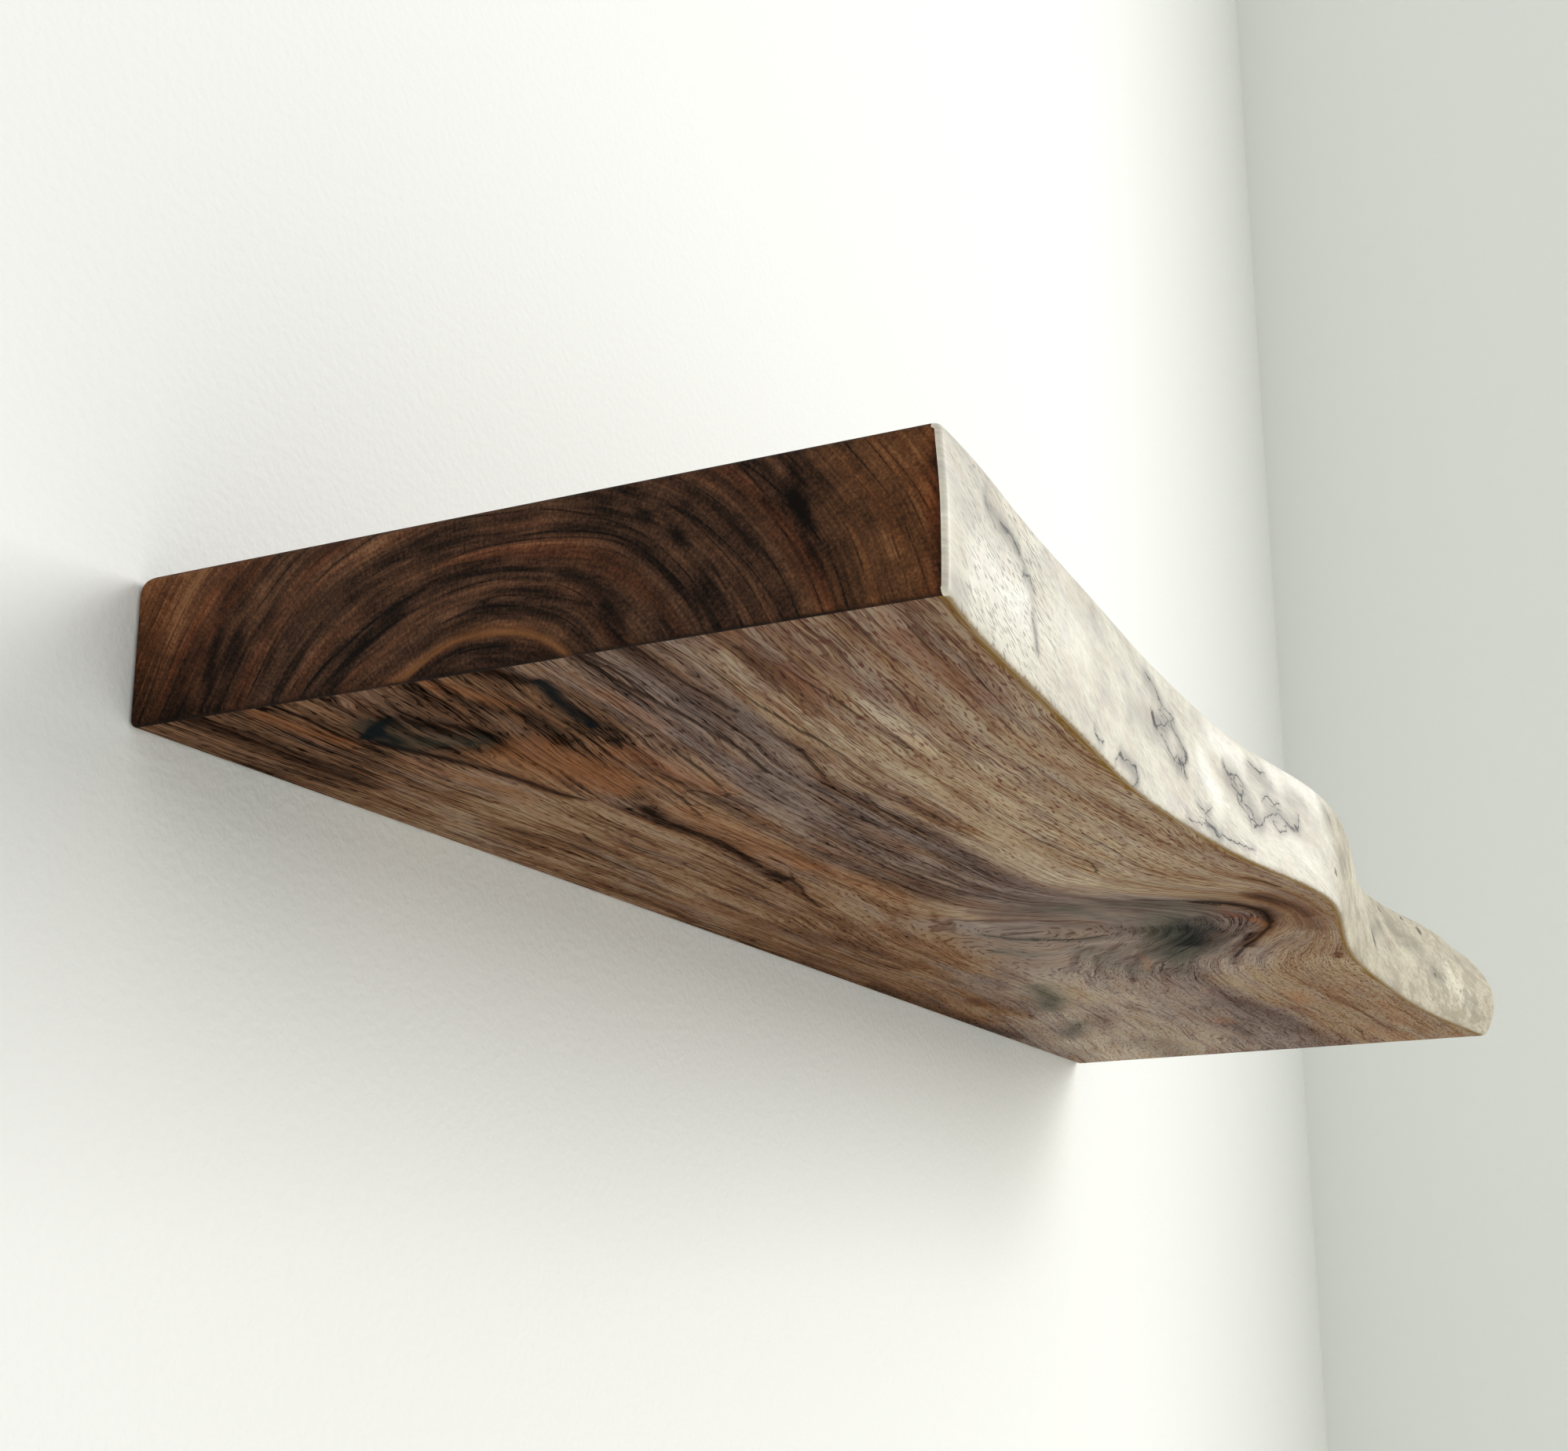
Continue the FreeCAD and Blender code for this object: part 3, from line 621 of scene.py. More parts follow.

# %% [markdown]
# The live edge gets strokes of its own, in mm along the plank and up from the underside:
# grey smears, painted highlights where the edge faces the light, and single dark specks.
# %% Strokes on the live edge
FRONT = [
    ("smear", 0.9, 2.8, [(30, 31), (41, 30), (55, 29)]),
    ("smear", 0.55, 2.2, [(57, 29), (66, 24), (72, 10)]),
    ("smear", 0.28, 4.0, [(4, 24), (18, 23)]),
    ("smear", 0.18, 5.0, [(6, 33), (30, 35)]),
    ("smear", 0.4, 3.0, [(3, 3), (14, 4)]),
    ("smear", 0.40, 5.0, [(164, 18), (178, 22), (190, 20)]),
    ("smear", 0.6, 3.0, [(180, 34), (199, 30)]),
    ("smear", 0.8, 3.0, [(192, 23), (210, 26), (222, 20), (215, 15)]),
    ("smear", 0.4, 3.0, [(232, 36), (246, 34)]),
    ("smear", 0.7, 2.2, [(158, 4), (172, 4), (178, 2)]),
    ("smear", 0.7, 4.5, [(264, 24), (283, 21), (290, 14)]),
    ("smear", 0.5, 4.0, [(300, 20), (324, 20)]),
    ("smear", 0.7, 2.2, [(244, 4), (252, 3), (256, 2)]),
    ("smear", 0.6, 4.0, [(288, 31), (306, 30)]),
    ("smear", 0.5, 4.0, [(322, 30), (336, 29)]),
    ("smear", 0.6, 3.0, [(364, 33), (372, 32)]),
    ("smear", 0.6, 4.0, [(384, 20), (405, 24)]),
    ("smear", 0.6, 3.0, [(512, 18), (540, 26)]),
    ("smear", 0.5, 5.0, [(560, 28), (600, 24)]),
    ("smear", 0.7, 4.0, [(610, 18), (625, 15)]),
    ("smear", 0.7, 4.0, [(660, 11), (672, 10)]),
    # painted highlights: near-white places where the edge faces the light
    ("bright", 0.8, 8.0, [(22, 14), (60, 16)]),
    ("bright", 0.35, 6.0, [(84, 20), (120, 24)]),
    ("bright", 0.8, 5.0, [(238, 24), (254, 14)]),
    ("bright", 0.8, 5.0, [(246, 35), (282, 33)]),
    ("bright", 0.8, 6.0, [(310, 37), (350, 36)]),
    ("bright", 0.3, 6.0, [(300, 10), (340, 12)]),
    ("bright", 0.6, 6.0, [(440, 30), (500, 30)]),
    ("bright", 0.25, 4.0, [(560, 18), (600, 16)]),
    ("bright", 0.7, 8.0, [(634, 17), (666, 12)]),
    ("speck", 0.9, 1.4, [(188.5, 24.2), (191, 22.5)]),
    ("speck", 0.9, 1.1, [(322, 19.5), (324, 19)]),
    ("speck", 0.8, 1.6, [(366, 12.5), (368, 12)]),
    ("speck", 0.6, 1.5, [(369, 33), (372, 32)]),
    ("speck", 0.75, 1.7, [(510, 17), (514, 14)]),
    ("speck", 0.7, 1.5, [(549, 35), (552, 34)]),
    ("speck", 0.6, 1.5, [(584, 37), (587, 37)]),
    ("speck", 0.75, 1.6, [(604, 35), (608, 34)]),
    ("speck", 0.65, 1.4, [(614, 17), (616, 16)]),
    ("speck", 0.6, 1.3, [(650, 14), (652, 14)]),
]
# how far each point lies behind the live edge, which draws back where the ends are rounded
past_flat = np.clip((np.abs(place[:, 0]) - LENGTH / 2 + END_ROUND) / END_ROUND, 0, 1)
gap = edge_depth(place[:, 0], place[:, 2]) - deep - END_ROUND * (1 - np.sqrt(1 - past_flat**2))
on_front = np.flatnonzero(gap < 3.0)
front_along = along[on_front]
front_high = high[on_front] + 0.5 * wander(along[on_front] / 5, high[on_front] / 2.5, 3.0)
for name in ("smear", "speck", "bright"):
    marks[name] = np.zeros(count)
for channel, strength, half_width, points in FRONT:
    weight = stroke_weight(points, half_width, front_along, front_high)
    marks[channel][on_front] += strength * weight
for name in ("smear", "speck", "bright"):
    marks[name] = np.clip(marks[name], 0, 1)
print("strokes laid on the live edge:", len(FRONT))

# %% [markdown]
# Some marks are thinner than a cell of the mesh: dark veins below, and in front the tracks of
# worms. A colour stored at the points would blur them. A signed distance doesn't: positive on
# one side of the line and negative on the other, it passes through zero exactly on the line,
# and the shader draws the line there as thin as it is. The plain distance is stored too, so
# that no false zero shows half way between two lines. Each line starts with its width in mm.
# %% Veins and worm tracks
VEINS = [
    (1.8, [(40, 46), (52, 50), (60, 54), (72, 57), (95, 60.5), (108, 61), (118, 64)]),
    (1.5, [(66, 104), (74, 101)]),
    (0.9, [(82, 113), (95, 111), (107, 109)]),
    (0.7, [(107, 109), (130, 104)]),
    (1.0, [(124, 97), (131, 99), (133, 102), (129, 104)]),
    (1.3, [(0, 133), (20, 131), (60, 131), (90, 129), (115, 124)]),
    (0.9, [(0, 137), (30, 136)]),
    (1.0, [(0, 148), (30, 145), (60, 144), (100, 142), (125, 136)]),
    (0.8, [(0, 158), (15, 157), (55, 152), (110, 150)]),
    (0.7, [(0, 176), (30, 172), (70, 170), (110, 168)]),
    (1.2, [(45, 17), (60, 18), (78, 18.5)]),
    (1.1, [(18, 24), (32, 23)]),
    (0.8, [(30, 9), (80, 12)]),
    (0.7, [(60, 27), (110, 31)]),
    (1.0, [(155, 41), (163, 38), (170, 37), (185, 37)]),
    (0.8, [(135, 77), (142, 72), (150, 70), (165, 72), (180, 74), (200, 71)]),
    (0.8, [(88, 97), (105, 93), (130, 89), (150, 84)]),
    (0.9, [(205, 71), (225, 75), (240, 69)]),
    (1.0, [(228, 65), (240, 68), (252, 66), (262, 62), (283, 57)]),
    (0.8, [(150, 31), (200, 28)]),
    (0.8, [(140, 111), (170, 116), (196, 112)]),
    (0.8, [(150, 137), (165, 134), (200, 133)]),
    (1.2, [(362, 89), (372, 95), (380, 106), (383, 118), (380, 128)]),
    (1.3, [
        (332, 172), (342, 182), (352, 189), (364, 192), (378, 190), (394, 185), (410, 177),
        (424, 168), (444, 158),
    ]),
    (1.0, [(324, 158), (334, 172), (346, 180)]),
    (0.6, [(414, 150), (430, 138), (445, 129), (462, 122)]),
    (0.8, [(412, 106), (430, 98), (445, 95), (462, 92)]),
    (0.9, [(306, 201), (315, 205), (326, 208)]),
    (0.5, [(222, 160), (262, 164), (278, 161)]),
    (0.5, [(222, 176), (270, 177)]),
]
TRACKS = [
    (0.55, [(42, 30.5), (50, 30.5), (57, 28.5)]),
    (0.35, [(68, 15), (71, 13), (73, 9)]),
    (0.30, [(182, 35), (191, 33.5), (199, 29)]),
    (0.75, [(188, 24.5), (190, 23), (193, 21.8)]),
    (0.35, [(193, 22), (200, 24), (206, 26.5), (213, 24.5), (220, 21.5)]),
    (0.70, [(220, 21.5), (223.5, 20), (221, 17), (216, 16)]),
    (0.45, [(211, 15.5), (214, 18), (219, 16), (223, 14)]),
    (0.30, [(193, 21.5), (202, 19.5), (211, 15.5)]),
    (0.45, [(129, 3.5), (133, 2), (138, 2.5)]),
    (0.55, [(154, 2.5), (157, 4.5), (161, 3.6)]),
    (0.30, [(161, 3.6), (168, 5), (174, 4.6)]),
    (0.60, [(174, 5), (178, 3.5), (177, 1.5)]),
    (0.35, [(262, 26), (268, 24), (274, 26.5), (281, 24)]),
    (0.50, [(268, 22), (274, 20), (279, 21.5), (276, 17.5)]),
    (0.45, [(276, 17), (283, 17.5), (286, 14.5), (283, 13)]),
    (0.45, [(286, 12), (293, 14), (296, 17)]),
    (0.35, [(296, 17), (303, 19), (309, 20.5), (316, 19)]),
    (0.70, [(314, 18.5), (319, 18), (324, 18)]),
    (0.45, [(324, 18), (327, 23)]),
    (0.30, [(225, 2), (232, 1.8), (238, 3)]),
    (0.75, [(242, 4), (249, 3.6), (254, 1.8)]),
    (0.35, [(256, 3.5), (263, 2.6), (272, 3.4), (284, 3.5)]),
    (0.35, [(290, 34), (298, 32), (302, 33)]),
    (0.60, [(508, 20), (514, 15), (518, 11)]),
    (0.40, [(262, 27), (265, 23.5), (269, 25.5), (273, 22.5)]),
    (0.35, [(272, 19), (275, 16), (280, 15), (284, 11.5)]),
    (0.35, [(296, 22.5), (301, 25.5), (306, 23), (311, 24)]),
    (0.30, [(303, 16.5), (308, 14), (313, 15.5)]),
    (0.35, [(196, 27.5), (203, 29), (210, 28)]),
    (0.30, [(236, 8), (241, 7), (246, 8.5)]),
    (0.30, [(60, 24), (66, 25.5), (71, 23)]),
]


NO_LINE = (9.0, 9.0, 0.5)


def line_field(lines, a, b):
    """Signed distance to the nearest line, plain distance and that line's width, in mm."""
    signed, plain, width = (np.full(a.shape, value) for value in NO_LINE)
    for wide, points in lines:
        for (a0, b0), (a1, b1) in zip(points, points[1:]):
            da, db = a1 - a0, b1 - b0
            t = np.clip(((a - a0) * da + (b - b0) * db) / (da * da + db * db), 0, 1)
            away = np.hypot(a - a0 - t * da, b - b0 - t * db)
            side = np.where(da * (b - b0) - db * (a - a0) >= 0, 1.0, -1.0)
            nearer = away < plain
            signed[nearer] = (away * side)[nearer]
            plain[nearer] = away[nearer]
            width[nearer] = wide
    return np.stack([signed, plain, width])


veins = np.tile(np.array(NO_LINE)[:, None], count)
low_points = np.flatnonzero((high < 2.0) & (gap > 1.5))
veins[:, low_points] = line_field(VEINS, along[low_points], deep[low_points])
veins[:, on_front] = line_field(TRACKS, front_along, front_high)
print("veins:", len(VEINS), "tracks:", len(TRACKS))

# %% [markdown]
# The fields are stored on the mesh in sets of three numbers, which the shaders read back.
# %% Store the fields
def store(name, columns):
    """Keeps three numbers for each point of the plank, for the shaders to read."""
    layer = plank.data.attributes.new(name, "FLOAT_VECTOR", "POINT")
    layer.data.foreach_set("vector", np.column_stack(columns).astype(np.float32).ravel())


store("fibre", fibre.T)
store("tone", [marks["dark"], marks["pale"], marks["rose"]])
store("stain", [marks["ink"], marks["moss"], marks["amber"]])
store("wash_and_sheen", [washes_and_sheen["light"], washes_and_sheen["cool"], washes_and_sheen["calm"]])
store("vein", veins)
# the bark field: the smears, the painted highlights and the specks of the live edge
store("bark", [marks["smear"], marks["bright"], marks["speck"]])
# the distance to the bark, 0 on the rounded end of the live edge, with the two true places
bark_distance = np.where((past_flat > 0) & (gap < 2), 0, np.clip(gap, 0, 30))
store("rim", [bark_distance, along, across])
layers = plank.data.attributes
print("fields:", [layer.name for layer in layers if layer.data_type == "FLOAT_VECTOR"])

# %% [markdown]
# ## Walnut, long grain, planed, sanded and oiled
#
# Black walnut heartwood is a grey to purple brown with darker bands where each year's growth
# slowed down. Planing opens its pores, which show as fine dark dashes along the fibres. A
# hardening oil rubbed in and wiped off leaves the wood matt, with hardly any reflection. Every
# texture reads the stored fibre place and is stretched along it: bands 8 mm wide, streaks of
# about 2 mm, fibres of about 0.5 mm. Real pores are 0.2 mm wide, too fine to show, so they
# are drawn 0.6 mm wide. Each row below is a noise with its size along, across and up in mm,
# its detail, its roughness and its share in the figure of the wood. Two slow noises make the
# fibres sway first. Each is a size in mm, a detail and the width of its sway in mm.
# %% Walnut, long grain: its figure
WALNUT_NOISES = {
    "bands": ((220, 8, 14), 2, 0.5, 0.60),
    "streaks": ((90, 1.9, 5), 4, 0.66, 1.0),
    "fibres": ((34, 0.55, 1.5), 2, 0.6, 1.0),
    "mottle": ((38, 12, 12), 3, 0.6, 0.65),
    "lines": ((170, 6, 9), 1, 0.4, 0.0),
    "warmth": ((70, 9, 12), 3, 0.6, 0.0),
    "blush": ((40, 6, 9), 3, 0.6, 0.0),
    "pores": ((5, 0.6, 1.2), 0, 0.5, 0.0),
}
SWAYS = [((60, 13, 14), 2.0, 7.0), ((17, 6, 7), 1.0, 1.0)]

# the stored fields, each split into its three numbers
kept = {
    name: node(walnut, "SeparateXYZ", {
        0: node(walnut, "Attribute", attribute_name=name).outputs["Vector"],
    }).outputs
    for name in ("tone", "stain", "wash_and_sheen", "vein", "rim")
}
swayed = node(walnut, "Attribute", attribute_name="fibre").outputs["Vector"]
plank_place = node(walnut, "VectorMath", {
    0: node(walnut, "TexCoord").outputs["Object"], 1: OUT_IN_MM, 2: (LENGTH / 2, 0, HALF),
}, operation="MULTIPLY_ADD")
for size, detail, shift in SWAYS:
    sway = node(walnut, "TexNoise", {
        "Vector": node(walnut, "Mapping", {"Vector": plank_place, "Scale": [1 / mm for mm in size]}),
        "Scale": 1.0, "Detail": detail,
    })
    swayed = node(walnut, "VectorMath", {
        0: sway.outputs["Color"], 1: (0, shift, 0), 2: swayed,
    }, operation="MULTIPLY_ADD")
noise = {}
for name, (size, detail, roughness, _) in WALNUT_NOISES.items():
    # each noise starts elsewhere, so that no two of them rise and fall together
    scaled = node(walnut, "Mapping", {
        "Vector": swayed, "Location": (3.7 * len(noise), 5.1 * len(noise), 0),
        "Scale": [1 / mm for mm in size],
    })
    noise[name] = node(walnut, "TexNoise", {
        "Vector": scaled, "Scale": 1.0, "Detail": detail, "Roughness": roughness,
    })
figure = -0.5 * sum(row[3] for row in WALNUT_NOISES.values())
for name, (_, _, _, share) in WALNUT_NOISES.items():
    if share:
        figure = node(walnut, "Math", {0: noise[name], 1: share, 2: figure}, operation="MULTIPLY_ADD")
print("noises in the walnut:", list(noise))

# %% [markdown]
# One number, the level, says how light the wood is. It starts with the zones that cross the
# plank, dark heartwood against the wall and pale wood towards the bark, and the figure, the
# washes with their painted light and sheen on the far part, the torn strokes, the pores and
# the growth lines are added to it.
# %% Walnut, long grain: its level
ZONE_WAVER, ZONES_END = 8.0, 230.0
across_place = node(walnut, "Math", {
    0: noise["mottle"], 1: ZONE_WAVER, 2: kept["rim"][2],
}, operation="MULTIPLY_ADD")
zone_place = node(walnut, "MapRange", {
    "Value": across_place, "From Min": ZONE_WAVER / 2, "From Max": ZONES_END + ZONE_WAVER / 2,
})
zone = node(walnut, "ValToRGB", {0: zone_place}, stops=[
    (0.0, 0.58), (0.13, 0.56), (0.26, 0.565), (0.37, 0.55), (0.435, 0.545), (0.51, 0.51),
    (0.560, 0.50), (0.582, 0.60), (0.604, 0.72), (0.65, 0.77), (0.783, 0.78), (0.87, 0.73),
    (1.0, 0.70),
])
loudness = node(walnut, "Math", {0: 1.0, 1: kept["wash_and_sheen"][2]}, operation="SUBTRACT")
level = node(walnut, "Math", {0: figure, 1: loudness, 2: zone}, operation="MULTIPLY_ADD")
# the light wash; over the far part it is painted light and painted sheen
level = node(walnut, "Math", {0: level, 1: kept["wash_and_sheen"][0]}, operation="ADD")
for weight, effect in ((kept["tone"][0], -0.40), (kept["tone"][1], 0.30)):
    torn = node(walnut, "Math", {0: figure, 1: 0.9, 2: weight}, operation="MULTIPLY_ADD")
    laid = node(walnut, "MapRange", {
        "Value": torn, "From Min": 0.15, "From Max": 0.85, "To Max": effect,
    })
    level = node(walnut, "Math", {0: level, 1: laid}, operation="ADD")
off_middle = node(walnut, "Math", {
    0: node(walnut, "Math", {0: noise["lines"], 1: 0.5}, operation="SUBTRACT"),
}, operation="ABSOLUTE")
growth_line = node(walnut, "MapRange", {
    "Value": off_middle, "From Min": 0.004, "From Max": 0.018, "To Min": 1.0, "To Max": 0.0,
})
broken_line = node(walnut, "Math", {
    0: growth_line,
    1: node(walnut, "MapRange", {
        "Value": noise["mottle"], "From Min": 0.42, "From Max": 0.56, "To Max": -0.16,
    }),
}, operation="MULTIPLY")
pores = node(walnut, "MapRange", {"Value": noise["pores"], "From Min": 0.59, "From Max": 0.68})
level = node(walnut, "Math", {0: level, 1: broken_line}, operation="ADD")
level = node(walnut, "Math", {0: pores, 1: -0.19, 2: level}, operation="MULTIPLY_ADD")
print("zones across the plank:", len(zone.color_ramp.elements))

# %% [markdown]
# The level picks a colour from two rows of browns, one warm and one cool. The zone, the
# washes, whose cool part towards the far end is a painted sheen, and a slow noise say how much
# of each shows.
# %% Walnut, long grain: warm and cool browns
warm = node(walnut, "ValToRGB", {0: level}, stops=[
    (0.0, "#120B07"), (0.15, "#291D15"), (0.30, "#523D2F"), (0.45, "#6E503B"), (0.55, "#83644C"),
    (0.68, "#957D64"), (0.80, "#A59176"), (0.90, "#B5A286"), (1.0, "#CCBEA2"),
])
cool = node(walnut, "ValToRGB", {0: level}, stops=[
    (0.0, "#0E0B0A"), (0.15, "#241D1A"), (0.30, "#4C3F3A"), (0.45, "#6A5A53"), (0.55, "#7C6D65"),
    (0.68, "#92837A"), (0.80, "#A79889"), (0.90, "#B6A896"), (1.0, "#CEC2AE"),
])
coolness = node(walnut, "ValToRGB", {0: zone_place}, stops=[
    (0.0, 0.0), (0.36, 0.05), (0.41, 0.3), (0.48, 0.8), (0.56, 0.9), (0.60, 0.5), (0.65, 0.15),
    (1.0, 0.2),
])
# the cool wash; towards the far end it is a painted sheen
coolness = node(walnut, "Math", {0: coolness, 1: kept["wash_and_sheen"][1]}, operation="ADD")
coolness = node(walnut, "Math", {
    0: coolness,
    1: node(walnut, "MapRange", {
        "Value": noise["warmth"], "From Min": 0.3, "From Max": 0.7, "To Min": -0.5, "To Max": 0.5,
    }),
}, operation="ADD", use_clamp=True)
colour = node(walnut, "MixRGB", {"Fac": coolness, "Color1": warm, "Color2": cool})
print("browns:", len(warm.color_ramp.elements), "warm,", len(cool.color_ramp.elements), "cool")

# %% [markdown]
# Reddish blushes come over the browns, and then four stains from the strokes: rose, mossy
# grey, amber and ink. The figure is added to each stroke before it is cut off, so that its
# edge tears along the fibres. Each row is a stroke, the two levels between which it comes in,
# its strength and its colour.
# %% Walnut, long grain: blushes and stains
colour = node(walnut, "MixRGB", {
    "Fac": node(walnut, "MapRange", {
        "Value": noise["blush"], "From Min": 0.50, "From Max": 0.66, "To Max": 0.5,
    }),
    "Color1": colour, "Color2": "#F2D8CC",
}, blend_type="MULTIPLY")
for weight, low, high_end, strength, tint in (
    (kept["tone"][2], 0.1, 0.9, 0.60, "#7C4A3A"),
    (kept["stain"][1], 0.1, 0.9, 0.70, "#4C5349"),
    (kept["stain"][2], 0.1, 0.9, 0.60, "#A0653D"),
    (kept["stain"][0], 0.20, 0.90, 0.95, "#10181B"),
):
    torn = node(walnut, "Math", {0: figure, 1: 0.9, 2: weight}, operation="MULTIPLY_ADD")
    amount = node(walnut, "MapRange", {
        "Value": torn, "From Min": low, "From Max": high_end, "To Max": strength,
    })
    colour = node(walnut, "MixRGB", {"Fac": amount, "Color1": colour, "Color2": tint})
print("nodes so far:", len(walnut.node_tree.nodes))

# %% [markdown]
# The thin things come last. A vein is dark where its signed distance, shaken by the figure, is
# below its width, and fades out where the plain distance says that no line is near. The pores
# turn red towards the bark, and a golden line runs where the heartwood meets it.
# %% Walnut, long grain: veins, pores and surface
torn_vein = node(walnut, "Math", {
    0: node(walnut, "Math", {0: figure, 1: 2.5, 2: kept["vein"][0]}, operation="MULTIPLY_ADD"),
}, operation="ABSOLUTE")
in_widths = node(walnut, "Math", {0: torn_vein, 1: kept["vein"][2]}, operation="DIVIDE")
vein = node(walnut, "Math", {
    0: node(walnut, "MapRange", {
        "Value": in_widths, "From Min": 0.3, "From Max": 1.0, "To Min": 0.75, "To Max": 0.0,
    }),
    1: node(walnut, "MapRange", {
        "Value": kept["vein"][1], "From Min": 2.6, "From Max": 3.6, "To Min": 1.0, "To Max": 0.0,
    }),
}, operation="MULTIPLY")
broken_vein = node(walnut, "Math", {
    0: vein,
    1: node(walnut, "MapRange", {
        "Value": noise["warmth"], "From Min": 0.62, "From Max": 0.50, "To Min": 0.25, "To Max": 1.0,
    }),
}, operation="MULTIPLY")
colour = node(walnut, "MixRGB", {"Fac": broken_vein, "Color1": colour, "Color2": "#1C1412"})
red_pores = node(walnut, "Math", {
    0: pores,
    1: node(walnut, "MapRange", {
        "Value": zone_place, "From Min": 0.6, "From Max": 0.75, "To Max": 0.5,
    }),
}, operation="MULTIPLY")
colour = node(walnut, "MixRGB", {"Fac": red_pores, "Color1": colour, "Color2": "#6B3F3C"})
torn_rim = node(walnut, "Math", {0: figure, 1: 3.0, 2: kept["rim"][0]}, operation="MULTIPLY_ADD")
gold = node(walnut, "MapRange", {
    "Value": torn_rim, "From Min": 1.6, "From Max": 3.4, "To Min": 0.8, "To Max": 0.0,
})
colour = node(walnut, "MixRGB", {"Fac": gold, "Color1": colour, "Color2": "#86682F"})
raised = node(walnut, "Math", {0: pores, 1: -0.8, 2: noise["fibres"]}, operation="MULTIPLY_ADD")
walnut_bump = node(walnut, "Bump", {"Height": raised, "Strength": 0.25, "Distance": 0.0002})
walnut_shader = node(walnut, "BsdfPrincipled", {
    "Base Color": colour, "Normal": walnut_bump, "Roughness": 0.6, "Specular IOR Level": 0.0,
})
node(walnut, "OutputMaterial", {"Surface": walnut_shader})
print("walnut, long grain:", len(walnut.node_tree.nodes), "nodes")

# %% [markdown]
# ## Walnut, end grain, sawn and sanded
#
# The saw went across the log, so the two ends show its growth rings. Their centre, the pith,
# lies below this plank: the rings are arches. Cut fibres drink the oil, which makes an end
# much darker than a face. The rings come from the distance to the pith line, so they are
# true circles that a slow noise makes a little uneven, as a tree does. The noises below are
# read outward from the pith, round it and straight through.
# %% Walnut, end grain: its rings
PITH_DEEP, PITH_LOW = 113.0, 33.0
UNEVEN_BY = 10.0
RING_NOISES = {
    "seasons": ((8, 80, 1), 2, 0.5, 0.80),
    "rings": ((2.7, 36, 1), 3, 0.65, 1.15),
    "fine": ((1.0, 12, 1), 2, 0.6, 0.50),
    "rays": ((7, 0.7, 1), 1, 0.5, 0.30),
    "lines": ((6, 90, 1), 1, 0.4, 0.0),
}
SPECK_NOISES = {
    "speckle": ((20, 0.8, 0.8), 2, 0.6, 0.85),
    "cloud": ((60, 15, 9), 3, 0.6, 0.80),
}
true_place = node(end_grain, "VectorMath", {
    0: node(end_grain, "TexCoord").outputs["Object"],
    1: OUT_IN_MM, 2: (LENGTH / 2, -PITH_DEEP, HALF + PITH_LOW),
}, operation="MULTIPLY_ADD")
slow = node(end_grain, "TexNoise", {
    "Vector": node(end_grain, "Mapping", {"Vector": true_place, "Scale": (1 / 60, 1 / 55, 1 / 40)}),
    "Scale": 1.0, "Detail": 1.0,
})
uneven = node(end_grain, "VectorMath", {
    0: slow.outputs["Color"], 1: (0, UNEVEN_BY, UNEVEN_BY), 2: true_place,
}, operation="MULTIPLY_ADD")
flat = node(end_grain, "VectorMath", {0: uneven, 1: (0, 1, 1)}, operation="MULTIPLY")
ring = node(end_grain, "VectorMath", {0: flat}, operation="LENGTH").outputs["Value"]
parts = node(end_grain, "SeparateXYZ", {0: flat})
angle = node(end_grain, "Math", {0: parts.outputs[1], 1: parts.outputs[2]}, operation="ARCTAN2")
ring_place = node(end_grain, "CombineXYZ", {
    0: ring, 1: node(end_grain, "Math", {0: angle, 1: 60.0}, operation="MULTIPLY"),
})
ring_noise = {}
for rows, where in ((RING_NOISES, ring_place), (SPECK_NOISES, true_place)):
    for name, (size, detail, roughness, _) in rows.items():
        scaled = node(end_grain, "Mapping", {
            "Vector": where, "Location": (len(ring_noise), 0, 0), "Scale": [1 / mm for mm in size],
        })
        ring_noise[name] = node(end_grain, "TexNoise", {
            "Vector": scaled, "Scale": 1.0, "Detail": detail, "Roughness": roughness,
        })
end_shares = {
    name: row[3]
    for rows in (RING_NOISES, SPECK_NOISES) for name, row in rows.items() if row[3]
}
end_level = 0.5 - 0.5 * sum(end_shares.values())
for name, share in end_shares.items():
    end_level = node(end_grain, "Math", {
        0: ring_noise[name], 1: share, 2: end_level,
    }, operation="MULTIPLY_ADD")
print("noises in the end grain:", list(ring_noise))

# %% [markdown]
# Some rings stand out, pale close to the pith and dark further out. The end is paler in its
# upper corner at the wall and towards the bark.
# %% Walnut, end grain: its tones
ring_tone = node(
    end_grain, "ValToRGB",
    {0: node(end_grain, "MapRange", {"Value": ring, "From Min": 12, "From Max": 142})},
    stops=[
        (0.0, 0.26), (0.238, 0.28), (0.252, 0.60), (0.268, 0.50), (0.31, 0.46), (0.325, 0.53),
        (0.345, 0.40), (0.36, 0.52), (0.40, 0.42), (0.425, 0.42), (0.44, 0.56), (0.47, 0.42),
        (0.495, 0.53), (0.58, 0.52), (0.60, 0.38), (0.62, 0.53), (0.66, 0.52), (0.68, 0.36),
        (0.71, 0.40), (0.73, 0.54), (0.82, 0.50), (0.835, 0.40), (0.85, 0.52), (1.0, 0.52),
    ],
)
true_parts = node(end_grain, "SeparateXYZ", {0: true_place})
from_wall = node(end_grain, "MapRange", {
    "Value": true_parts.outputs[1], "From Min": -PITH_DEEP, "From Max": 226 - PITH_DEEP,
})
side_tone = node(end_grain, "ValToRGB", {0: from_wall}, stops=[
    (0.0, 0.62), (0.09, 0.62), (0.13, 0.50), (0.22, 0.52), (0.55, 0.50), (0.62, 0.42),
    (0.72, 0.47), (0.84, 0.44), (0.90, 0.60), (0.95, 0.72), (0.985, 0.74), (1.0, 0.30),
])
